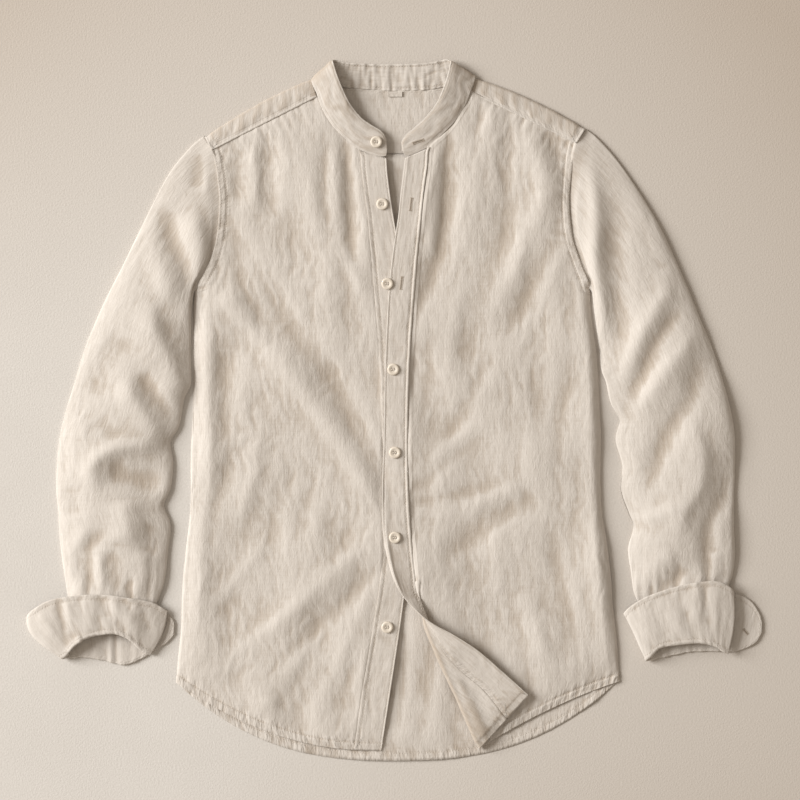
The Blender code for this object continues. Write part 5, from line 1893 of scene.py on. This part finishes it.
# ---- the collar band ---------------------------------------------------------------------------
@dataclass
class CollarBand:
    """The standing band, once round the neck, two plies with a firm lining."""

    rows: int = 420
    columns: int = 26
    crown: float = 0.8
    sheet: Sheet = field(init=False)

    def shape(self) -> None:
        """Lay out the grid from the seam to the top edge and crease it."""
        numbers = even_numbers(COLLAR_BAND, ((0, 1), (3, 4)), self.rows)[:, None]
        band = on_table(COLLAR_BAND, numbers)
        top, seam = band[..., :3], band[..., 3:]
        shares = (crowded(self.columns, 0.6, 1.6, 0.12) * 1.05 - 0.05)[None]
        places = between(seam, top, shares[..., None])
        held = np.clip(shares, 0.0, 1.0)
        places[..., 2] += self.crown * 4 * held * (1 - held) * ease((band[..., 2] - 6) / 3)
        v = run_length(between(seam, top, 0.5)[:, 0])[:, None]
        high = np.linalg.norm(top - seam, axis=-1)
        self.from_seam = high * shares
        self.from_top = high * (1 - shares)
        self.along = v + np.zeros_like(shares)
        cloth = np.dstack((self.from_seam, self.along))
        self.sheet = Sheet("collar_band", places, cloth, wall=1.5)
        self.sheet.near((np.maximum(self.from_seam, 0.0), self.along, 2.2, 0.25),
                        (self.from_top, self.along + 900, 2.6, 0.2))
        height = Crinkle(101, 0.48, 0.40).at(cloth)
        height += 1.5 * rim(self.from_top / 1.4)
        above = np.maximum(self.from_seam, 0.0)
        height += Seam(2.0, 0.25, 0.2, 0.15, 9.0, 102).at(above, self.along)
        height += Seam(2.6, 0.15, 0.2, 0.10, 9.0, 103).at(self.from_top, self.along)
        inside = ease((numbers - 9.5) / 1.5) * ease((18.5 - numbers) / 1.5)
        gathers = grain(self.along / 8.5, self.from_seam / 34.0, 104)
        gathers += 0.8 * grain(self.along / 4.5, self.from_seam / 18.0, 105)
        height += inside * gathers * (0.45 + 0.55 * np.exp(-above / 14.0))
        self.sheet.raise_by(height * np.clip(high / 20, 0.3, 1.0))

    def paths(self) -> list:
        """Paths of its stitches."""
        return [self.sheet.line(self.from_seam, 2.2, slice(4, -4)),
                self.sheet.line(-self.from_top, -2.2, slice(6, -6))]


# ---- the sleeves -------------------------------------------------------------------------------
@dataclass
class Sleeve:
    """A sleeve as a hollow tube laid flat, its upper side standing off the lower one."""

    name: str
    side: Side
    table: tuple
    creases: tuple
    front: tuple
    seed: int
    rows: int = 250
    columns: int = 84
    lower_columns: int = 12
    rise: float = 13.0
    edge: float = 2.6
    full: tuple = (0.66, 0.50)  # how slowly it rises from its outer and its inner fold
    sheet: Sheet = field(init=False)

    def head(self) -> Array:
        """Places down the armhole, from the shoulder point to the underarm.

        Returns:
            The places.
        """
        rows = on_table(self.front, np.arange(ARMHOLE_ROWS + 1.0))
        x = rows[:, 0] + self.side.value * 0.8
        z = np.maximum(BODY.height(rows[:, 0], rows[:, 1]), 3.2)
        z[:2] += (1.4, 0.5)
        moved = np.stack((x, rows[:, 1], z), axis=-1)
        shoulder = np.array((self.table[0][0], self.table[0][1], self.edge))
        return np.vstack((shoulder, between(shoulder, moved[0], 0.5), moved))

    def place(self, cut: Array, t: Array) -> tuple[Array, Array]:
        """Plan place across a section, from its outer fold to its inner one.

        Args:
            cut: sections of the table.
            t: shares of the way across.

        Returns:
            X and Y of the places.
        """
        run_x, run_y = cut[..., 2] - cut[..., 0], cut[..., 3] - cut[..., 1]
        bend = 4 * t * (1 - t) * cut[..., 4] / np.hypot(run_x, run_y)
        return cut[..., 0] + run_x * t - run_y * bend, cut[..., 1] + run_y * t + run_x * bend

    def lift(self, cut: Array) -> Array:
        """How far its end lies off the floor, on the turned-back cuff."""
        return NEXT_PLY * 1.15 * np.maximum(cut[..., 6], 0.0)

    def upper(self, numbers: Array) -> Array:
        """The upper side, from the outer fold to the inner one.

        Args:
            numbers: the rows' numbers, as a column.

        Returns:
            Places of its columns.
        """
        side = self.side.value
        head = self.head()
        count = len(head) - 1
        share = np.linspace(0.0, 1.0, self.columns)[None]
        seam = on_table(head, share * count)
        at_seam = (seam[..., 1] - head[0, 1]) / (head[-1, 1] - head[0, 1])
        own = np.minimum(numbers / 3.0, 1.0)
        t = between(at_seam, (1 - np.cos(math.pi * share)) / 2, own)
        cut = on_table(self.table, numbers)
        x, y = self.place(cut, t)
        first_x, first_y = self.place(np.asarray(self.table[0], float), at_seam)
        x = x + (seam[..., 0] - first_x) * (1 - own)
        y = y + (seam[..., 1] - first_y) * (1 - own)
        line = edge_path(self.front, 0.0, len(self.front) - 1.0)
        order = line[:, 1].argsort()
        beside = np.interp(y, line[order, 1], side * line[order, 0])
        room = 1.4 * np.minimum(numbers * 2, 1.0) * (1 + count * (1 - share))
        x = side * np.maximum(side * x, beside + 0.8 + room)
        x = x - side * 3.0 * (1.0 - ease(numbers / 0.35))
        arch = np.sin(math.pi * t).clip(0) ** between(*self.full, ease(t))
        rise = cut[..., 5] * self.rise - self.edge
        rise = rise + relief(self.creases, x, y) * np.maximum(cut[..., 5], 0.85)
        z = self.edge + self.lift(cut) * 0.4 + arch * not_below(rise, 2.4, 2.0)
        return np.dstack((x, y, between(seam[..., 2] - 0.8, z, ease(numbers / 0.5))))

    def shape(self) -> None:
        """Lay out the tube, and crease it."""
        numbers = even_numbers(self.table, ((0, 1), (2, 3)), self.rows)[:, None]
        upper = self.upper(numbers)
        cut = on_table(self.table, numbers)
        back = np.linspace(self.columns - 1.0, 0.0, self.lower_columns + 2)[1:-1]
        i = np.minimum(back.astype(int), self.columns - 2)
        lower = between(upper[:, i], upper[:, i + 1], (back - i)[None, :, None])
        edges = np.minimum(np.linalg.norm(lower - upper[:, :1], axis=-1),
                           np.linalg.norm(lower - upper[:, -1:], axis=-1))
        bend = (1 - np.clip(edges / 3.0, 0.0, 1.0)) ** 2
        lower[..., 2] = FLOOR_PLY + self.lift(cut) + (self.edge - FLOOR_PLY) * 0.8 * bend
        places = np.concatenate((upper, lower), axis=1)
        u = run_length(np.concatenate((places, places[:, :1]), axis=1), axis=1)
        u = u - u[:, self.columns // 2, None]
        v = -run_length(upper[:, self.columns // 2])[:, None] + np.zeros_like(u)
        cloth = np.dstack((u, v))
        outward = 1.0 if self.side is Side.RIGHT else -1.0
        self.sheet = Sheet(self.name, places, cloth, outward, closed=True)
        height = Crinkle(self.seed, 0.26, 1.0).at(cloth)[:, :-1]
        calm = np.ones(places.shape[:2])
        calm[:, self.columns:] = 0.12
        edge_share = np.minimum(np.arange(self.columns), np.arange(self.columns)[::-1]) / 5.0
        calm[:, :self.columns] = 0.35 + 0.65 * ease(edge_share)[None]
        calm *= 0.15 + 0.85 * ease(numbers / 2.0)
        across = grain(u[:, :-1] / 9.0, v[:, :-1] / 60.0, self.seed + 9)
        height = height + 1.2 * across * ease((numbers - (len(self.table) - 4.2)) / 2.0)
        top = grain(u[:, :-1] / 7.0, v[:, :-1] / 30.0, self.seed + 10)
        height += 0.3 * top * np.exp(-((numbers - 0.6) / 0.7) ** 2)
        self.sheet.raise_by(height * calm)


# ---- the cuffs ---------------------------------------------------------------------------------
@dataclass
class Cuff:
    """A cuff turned back once: an outer ply, the lip of its mouth, and an inner ply."""

    name: str
    table: tuple
    creases: tuple
    seed: int
    fold_at: float              # row number of the folded end of the tube
    fold_bow: float             # how far its edge bows out
    end_bow: float              # and the open end's
    rows: int = 240
    outer_columns: int = 25
    lip_columns: int = 7
    inner_columns: int = 20
    ply: float = 1.9
    puff: float = 1.8
    sheet: Sheet = field(init=False)

    def lay(self, numbers: Array, share: Array) -> Array:
        """Places of the outer ply at shares of the way from the free edge to the mouth.

        Args:
            numbers: the rows' numbers, as a column.
            share: shares of the way.

        Returns:
            The places.
        """
        cuts = on_table(self.table, numbers)
        free, mouth = cuts[..., (0, 1, 4)], cuts[..., (2, 3, 5)]
        places = between(free, mouth, share[..., None])
        down = (mouth - free)[..., :2]
        aside = np.stack((down[..., 1], -down[..., 0]), axis=-1)
        aside /= np.linalg.norm(aside, axis=-1, keepdims=True)
        middle = np.asarray(self.table)[:, :4].reshape(-1, 2).mean(axis=0)
        out = np.sign((((free + mouth)[..., :2] / 2 - middle) * aside).sum(-1))
        fold = self.fold_bow * np.exp(-((numbers - self.fold_at) / 1.1) ** 2)
        end = self.end_bow * np.exp(-((len(self.table) - 1.0 - numbers) / 1.2) ** 2)
        bow = (fold * np.sin(math.pi * np.clip(share, 0, 1) ** 0.65)
               + end * np.sin(math.pi * np.clip(share, 0, 1)))
        places[..., :2] += aside * (out * bow)[..., None]
        lying = ease((free[..., 2] - 1.0) / 6.0)
        places[..., 2] += self.puff * lying * 4 * share * (1 - share)
        places[..., 2] = np.maximum(places[..., 2], FLOOR_PLY)
        return places

    def shape(self) -> None:
        """Lay out the grid from the free edge to the mouth and up inside, and crease it."""
        numbers = even_numbers(self.table, ((0, 1), (2, 3)), self.rows)[:, None]
        cuts = on_table(self.table, numbers)
        free, mouth = cuts[..., (0, 1, 4)], cuts[..., (2, 3, 5)]
        outer_at = crowded(self.outer_columns, 1.0, 0.6, 0.12)[None]
        lowest = between(0.03, 0.5, ease((numbers - 4.0) / 2.0))
        inner_at = between(0.96, lowest, crowded(self.inner_columns, 0.0, 4.0, 0.18)[None])
        outer = self.lay(numbers, outer_at)
        step = np.gradient(outer, axis=0)
        down = mouth - free
        inward = np.cross(step, np.broadcast_to(down, step.shape))
        inward /= np.maximum(np.linalg.norm(inward, axis=-1, keepdims=True), 1e-9)
        last = outer[:, -1:], inward[:, -1:]
        angle = np.linspace(0.0, math.pi, self.lip_columns + 2)[None, 1:-1, None]
        along = down / np.linalg.norm(down, axis=-1, keepdims=True)
        lip = last[0] + last[1] * self.ply / 2 * (1 - np.cos(angle)) + along * 0.9 * np.sin(angle)
        inner = self.lay(numbers, inner_at)
        column = np.interp(inner_at, outer_at[0], np.arange(self.outer_columns)).astype(int)
        inner = inner + inward[np.arange(self.rows)[:, None], column] * self.ply
        places = np.concatenate((outer, lip, inner), axis=1)
        u = run_length(between(free, mouth, 0.4)[:, 0])[:, None]
        v = run_length(places, axis=1)
        self.along = u + np.zeros_like(v)
        self.from_free = v
        self.from_mouth = v[:, self.outer_columns - 1:self.outer_columns] - v
        cloth = np.dstack((self.along, -v))
        self.sheet = Sheet(self.name, places, cloth, outward=-1.0)
        self.dress(numbers, places, cloth)

    def dress(self, numbers: Array, places: Array, cloth: Array) -> None:
        """Raise the seams, the rolled lip, the pleats inside and the creases.

        Args:
            numbers: the rows' numbers, as a column.
            places: places of the grid.
            cloth: its flat cloth coordinates.
        """
        near_mouth = np.abs(self.from_mouth)
        inner_free = np.where(np.arange(places.shape[1]) < self.outer_columns + self.lip_columns,
                              99.0, self.from_free[:, -1:] - self.from_free + 1.0)
        self.sheet.near((self.from_free, self.along, 5.5, 0.4),
                        (near_mouth, self.along + 900, 4.0, 0.5),
                        (inner_free, self.along + 1800, 6.5, 0.3))
        upper = ease((places[:, :1, 2] - 1.0) / 6.0)
        height = Crinkle(self.seed, 0.40, 0.55).at(cloth)
        height += rim(self.from_free)
        height += Seam(5.5, 0.2, 0.3, 0.28, 9.0, self.seed + 20).at(self.from_free, self.along)
        height += Seam(6.5, 0.35, 0.55, 0.2, 9.0, self.seed + 25).at(inner_free, self.along)
        height += Seam(4.0, 0.4, 0.3, 0.40, 9.0, self.seed + 30).at(near_mouth, self.along)
        outside = np.arange(places.shape[1]) < self.outer_columns
        large = relief(self.creases, places[..., 0], places[..., 1]) * upper
        calm = np.where(outside[None], between(0.15, 1.0, upper), 0.3)
        pleats = np.sin(self.along / 2.9 + 3.4 * grain(self.along / 24, 0, self.seed + 40))
        pleats = pleats * (0.7 + 0.6 * grain(self.along / 30, 0, self.seed + 41))
        inside = ease((np.arange(places.shape[1]) - self.outer_columns) / 5.0)[None] * (1 - upper)
        inside = inside * ease((numbers - 2.2) / 1.0) * ease((self.fold_at - 0.8 - numbers) / 1.0)
        height = height * calm + np.where(outside[None], large, -large)
        height = height + inside * (0.5 + 0.55 * pleats)
        ends = np.minimum(numbers, len(self.table) - 1.0 - numbers)
        self.sheet.raise_by(height * (0.4 + 0.6 * ease(ends / 0.6)))

    def paths(self) -> list:
        """Paths of its stitches.

        Returns:
            The paths, on its right side.
        """
        rows = slice(3, self.rows - 3)
        turned = self.outer_columns + self.lip_columns
        return [self.sheet.line(self.from_free, 5.5, rows),
                self.sheet.line(-self.from_mouth, -4.0, rows),
                self.sheet.along_rows(6, slice(turned, None))[::-1],
                self.sheet.down_columns(turned + self.inner_columns - 7.0, slice(6, 80))]


# ---- buttons, buttonholes and label ------------------------------------------------------------
@dataclass
class Button:
    """A turned shirt button with a thick rim, a dished middle and four holes."""

    name: str
    radius: float = 6.9
    thick: float = 2.6
    hole_ring: float = 1.75
    hole: float = 0.72
    rings: int = 26
    spokes: int = 56

    def foot(self) -> Array:
        """Middle of the solid button's underside."""
        low, high = (np.array(corner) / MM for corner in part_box(self.name))
        return np.array((*(low + high)[:2] / 2, low[2]))

    def face_height(self, r: Array, x: Array, y: Array) -> Array:
        """Height of the face at a distance from the centre, wells included.

        Args:
            r: distance from the centre.
            x: X from the centre.
            y: Y from the centre.

        Returns:
            The height at each place.
        """
        shape = ((0.0, 0.70), (0.40, 0.72), (0.48, 0.80), (0.54, 0.90), (0.60, 0.86), (0.66, 0.97),
                 (0.74, 1.0), (0.84, 0.97), (0.93, 0.86), (0.98, 0.66), (1.0, 0.48))
        z = np.interp(r / self.radius, *zip(*shape)) * self.thick
        z = z - 0.14 * np.exp(-((r / self.radius - 0.80) / 0.03) ** 2)
        side = self.hole_ring * math.cos(math.pi / 4)
        away = np.hypot(np.abs(x) - side, np.abs(y) - side)
        z = np.where(away < self.hole, 0.35, z)
        return z

    def build(self, material: bpy.types.Material) -> bpy.types.Object:
        """Make the mesh where the solid's button is.

        Args:
            material: its finish.

        Returns:
            The new object, linked to the scene.
        """
        spread = np.linspace(0.0, 0.46, 14), np.linspace(0.5, 1.0, self.rings - 14)
        spread = np.concatenate(spread)
        turns = np.linspace(0.0, 2 * math.pi, self.spokes, endpoint=False)
        r = spread[1:, None] * self.radius
        x, y = r * np.cos(turns), r * np.sin(turns)
        z = self.face_height(r + 0 * x, x, y)
        verts = [(0.0, 0.0, self.thick * 0.70)]
        verts += list(zip(x.ravel(), y.ravel(), z.ravel()))
        rims = ((0.96, 0.2), (0.82, 0.0), (0.3, 0.0))
        for share, level in rims:
            verts += [(self.radius * share * math.cos(a), self.radius * share * math.sin(a),
                       self.thick * level) for a in turns]
        verts.append((0.0, 0.0, 0.0))
        faces = [(0, 1 + i, 1 + (i + 1) % self.spokes) for i in range(self.spokes)]
        bands = len(spread) - 2 + len(rims)
        for band in range(bands):
            a, b = 1 + band * self.spokes, 1 + (band + 1) * self.spokes
            for i in range(self.spokes):
                j = (i + 1) % self.spokes
                faces.append((a + i, b + i, b + j, a + j))
        end = len(verts) - 1
        a = 1 + bands * self.spokes
        faces += [(a + (i + 1) % self.spokes, a + i, end) for i in range(self.spokes)]
        place = np.array(verts) + self.foot()
        return new_piece(self.name + "_turned", (place * MM).tolist(), faces, material)

    def thread(self) -> list:
        """Two short bars of thread across the holes.

        Returns:
            Paths of the bars, two plies each.
        """
        top = self.foot() + (0.0, 0.0, self.thick * 0.70 + 0.2)
        side = self.hole_ring * math.cos(math.pi / 4)
        bars = []
        for offset in (-side, side):
            for lift, shift in ((0.0, -0.22), (0.12, 0.22)):
                x = offset + shift
                bars.append(top + ((x, -side - 0.2, -0.5), (x, -side * 0.7, lift),
                                   (x, side * 0.7, lift), (x, side + 0.2, -0.5)))
        return bars


@dataclass(frozen=True)
class Buttonhole:
    """A worked buttonhole: close stitches down both sides of a slit and a bar at each end."""

    x: float
    y: float
    turn: float                 # of its length from +X, in degrees
    length: float = 15.0
    side: float = 1.15          # from the slit to the middle of a row
    stitching: Stitching = Stitching(0.55, 1.5, 0.45, math.pi / 2)

    def runs(self, sheet: Sheet) -> list:
        """Paths of its stitches on a strip.

        Args:
            sheet: the strip.

        Returns:
            Pairs of a path and its Stitching.
        """
        along = self.heading()
        aside = np.array((-along[1], along[0]))
        centre = np.array((self.x, self.y))
        step = np.linspace(-0.5, 0.5, 24)[:, None] * self.length
        bar = np.linspace(-1.0, 1.0, 8)[:, None] * self.side * 1.5
        lines = [centre + step * along + aside * side for side in (-self.side, self.side)]
        lines += [centre + along * self.length * end + bar * aside for end in (-0.5, 0.5)]
        return [(sheet.upon(line), self.stitching) for line in lines]

    def heading(self) -> Array:
        """Unit vector along the slit."""
        angle = math.radians(self.turn)
        return np.array((math.cos(angle), math.sin(angle)))

    def slit(self, sheet: Sheet) -> tuple:
        """Path of the dark stitches that paint the shade in the slit between the rows of stitches.

        Args:
            sheet: the strip.

        Returns:
            The path and its Stitching.
        """
        step = np.linspace(-0.42, 0.42, 16)[:, None] * self.length
        line = np.array((self.x, self.y)) + step * self.heading()
        return sheet.upon(line, -0.1), Stitching(1.2, 2.4, 0.9)


@dataclass
class Label:
    """The bare woven tab inside the back neck."""

    width: float = 17.0
    height: float = 6.0
    x: float = -2.0
    y: float = 373.0
    rows: int = 26
    columns: int = 60
    sheet: Sheet = field(init=False)

    def shape(self) -> None:
        """Lay out the tab with its turned ends."""
        across = np.linspace(-self.width / 2, self.width / 2, self.columns)[None]
        down = np.linspace(self.height / 2, -self.height / 2, self.rows)[:, None]
        x = self.x + across + 0 * down
        y = self.y + down + 0 * across
        z = np.full_like(x, 2.3) + 0.25 * (np.abs(across) / (self.width / 2)) ** 6 + 0 * down
        self.sheet = Sheet("neck_label", np.dstack((x, y, z)), np.dstack((x, y)), wall=0.6)
        self.sheet.raise_by(0.12 * grain(x / 3.0, y / 2.0, 111))


# ---- surroundings ------------------------------------------------------------------------------
@dataclass
class Studio:
    """The floor, the soft daylight from the upper left, and the camera overhead."""

    view_width: float = 0.944
    distance: float = 3.5
    centre: tuple = (0.004, 0.012)
    level: float = 0.004
    floor_reach: float = 6.0
    window: tuple = (-8.4, 2.3, 4.5)    # where its light stands, in metres
    window_size: float = 4.6
    window_power: float = 1480.0        # in watts

    def build(self) -> None:
        """Make all of it."""
        self.floor()
        self.lights()
        self.camera()

    def floor(self) -> None:
        """A large pale plane."""
        corners = [(x * self.floor_reach, y * self.floor_reach, 0.0)
                   for x, y in ((-1, -1), (1, -1), (1, 1), (-1, 1))]
        new_piece("floor", corners, [(0, 1, 2, 3)], Plaster().build())

    def lights(self) -> None:
        """One large soft window light from the left and a warm surround."""
        window = bpy.data.lights.new("window", "AREA")
        window.shape = "SQUARE"
        window.size = self.window_size
        window.energy = self.window_power
        window.color = (1.0, 0.995, 0.985)
        lamp = bpy.data.objects.new("window", window)
        lamp.location = self.window
        lamp.rotation_euler = (-Vector(self.window)).to_track_quat("-Z", "Y").to_euler()
        bpy.context.scene.collection.objects.link(lamp)
        world = bpy.data.worlds.new("surround")
        world.use_nodes = True
        backdrop = world.node_tree.nodes["Background"]
        backdrop.inputs["Color"].default_value = (1.0, 0.885, 0.755, 1.0)
        backdrop.inputs["Strength"].default_value = 0.41
        bpy.context.scene.world = world
        bpy.context.scene.view_settings.view_transform = "Standard"

    def camera(self) -> None:
        """Straight down over the shirt."""
        lens = bpy.data.cameras.new("overhead")
        lens.sensor_fit = "HORIZONTAL"
        lens.sensor_width = 36.0
        lens.lens = 36.0 * self.distance / self.view_width
        lens.clip_end = 50.0
        lens.dof.use_dof = False
        camera = bpy.data.objects.new("overhead", lens)
        camera.location = (*self.centre, self.distance + self.level)
        bpy.context.scene.collection.objects.link(camera)
        bpy.context.scene.camera = camera


# ---- the whole shirt ---------------------------------------------------------------------------
@dataclass
class Shirt:
    """All pieces of the shirt and their finishes."""

    tree: StitchTree = field(init=False)

    def keep(self, piece: bpy.types.Object, node: str | None = None) -> None:
        """Put a piece on the shirt and hide the solid that it stands for.

        Args:
            piece: the piece.
            node: the solid, if it stands for one.
        """
        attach(piece, ROOT)
        if node:
            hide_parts(node)
        LOG.info("%s: %d faces", piece.name, len(piece.data.polygons))

    def cloth(self, sheet: Sheet, finish: Linen, flat: tuple, area: float | None = None) -> None:
        """Build a sheet's piece, put it on the shirt and hide its solid.

        Args:
            sheet: the shaped sheet.
            finish: its linen.
            flat: width and length of its cut, in metres; not used.
            area: the cut's area where it is far from a rectangle; not used.
        """
        piece = sheet.build(finish.build())
        self.keep(piece, sheet.name)

    def build(self) -> None:
        """Make every piece."""
        body = Linen("front linen")
        strip = Linen("strip linen", crinkle=0.8)
        back = Back()
        right = RightFront()
        stand = ButtonStand()
        left = LeftFront()
        placket = Placket()
        yoke = Yoke()
        band = CollarBand()
        label = Label()
        for piece in (back, right, stand, left, yoke, band, label):
            piece.shape()
        placket.shape(left)
        sleeves = (
            Sleeve("right_sleeve", Side.RIGHT, RIGHT_SLEEVE, RIGHT_SLEEVE_CREASES, RIGHT_FRONT,
                   121),
            Sleeve("left_sleeve", Side.LEFT, LEFT_SLEEVE, LEFT_SLEEVE_CREASES, LEFT_FRONT, 141,
                   full=(0.42, 0.78)),
        )
        cuffs = (Cuff("right_cuff", RIGHT_CUFF, RIGHT_CUFF_CREASES, 161, 9.5, 10.0, 4.0),
                 Cuff("left_cuff", LEFT_CUFF, LEFT_CUFF_CREASES, 181, 9.0, 0.0, 3.5))
        for piece in sleeves + cuffs:
            piece.shape()
        self.cloth(back.sheet, Linen("back linen"), (0.522, 0.716))
        self.cloth(right.sheet, body, (0.245, 0.773), 0.150)
        self.cloth(stand.sheet, strip, (0.032, 0.708))
        self.cloth(left.sheet, body, (0.250, 0.776), 0.152)
        self.cloth(placket.sheet, strip, (0.032, 0.700))
        self.cloth(yoke.sheet, body, (0.449, 0.089))
        self.cloth(band.sheet, strip, (0.040, 0.420))
        tab = label.sheet.build(strip.build(), "_tab")
        self.keep(tab, "neck_label")
        for sleeve in sleeves:
            self.cloth(sleeve.sheet, body, (0.384, 0.570), 0.130)
        for cuff in cuffs:
            self.cloth(cuff.sheet, strip, (0.330, 0.085))
        self.sew((right, stand, left, placket, yoke, band, back) + cuffs)
        self.buttons()

    def sew(self, owners: tuple) -> None:
        """Sew the rows of stitches and the buttonholes.

        Args:
            owners: the shaped pieces; their order gives each its seed.
        """
        self.tree = StitchTree(Thread("sewing thread").build())
        worked = StitchTree(Thread("buttonhole thread", (0.53, 0.46, 0.38),
                                   (0.42, 0.35, 0.28)).build())
        # Painted shade: dark stitches laid along each buttonhole's slit stand for the shade in the
        # cut, as a piece of their own.
        cut = StitchTree(Thread("buttonhole slit painted shade", (0.26, 0.205, 0.15), (0.17, 0.13, 0.09)).build())
        holes = {"buttonhole_placket": (Buttonhole(17.1, 242.5, 83), Buttonhole(5.8, 149.9, 84)),
                 "collar_band": (Buttonhole(25.5, 316.5, 19, 13.5),),
                 "left_cuff": (Buttonhole(412, -261.5, -49, 8.0, 1.05),)}
        for seed, owner in enumerate(owners, start=1):
            name = owner.sheet.name
            rows = [(path, Stitching()) for path in owner.paths()]
            self.keep(self.tree.sew(name + "_stitches", rows, seed))
            if name in holes:
                edges = [run for hole in holes[name] for run in hole.runs(owner.sheet)]
                self.keep(worked.sew(name + "_buttonholes", edges, seed))
                painted_slit_shades = [hole.slit(owner.sheet) for hole in holes[name]]
                self.keep(cut.sew(name + "_slits", painted_slit_shades, seed))

    def buttons(self) -> None:
        """Make the seven buttons and their threads."""
        shell = Polished("button shell").build()
        for index in range(1, 8):
            name = f"button_{index}"
            button = Button(name)
            self.keep(button.build(shell), name)
            runs = [(path, Stitching(0.45, 0.62, 0.34)) for path in button.thread()]
            self.keep(self.tree.sew(name + "_thread", runs, 40 + index))


def main() -> None:
    """Build the shirt and the studio, and report each piece."""
    logging.basicConfig(level=logging.INFO, format="%(name)s: %(message)s")
    Shirt().build()
    Studio().build()


if __name__ == "__main__":
    main()
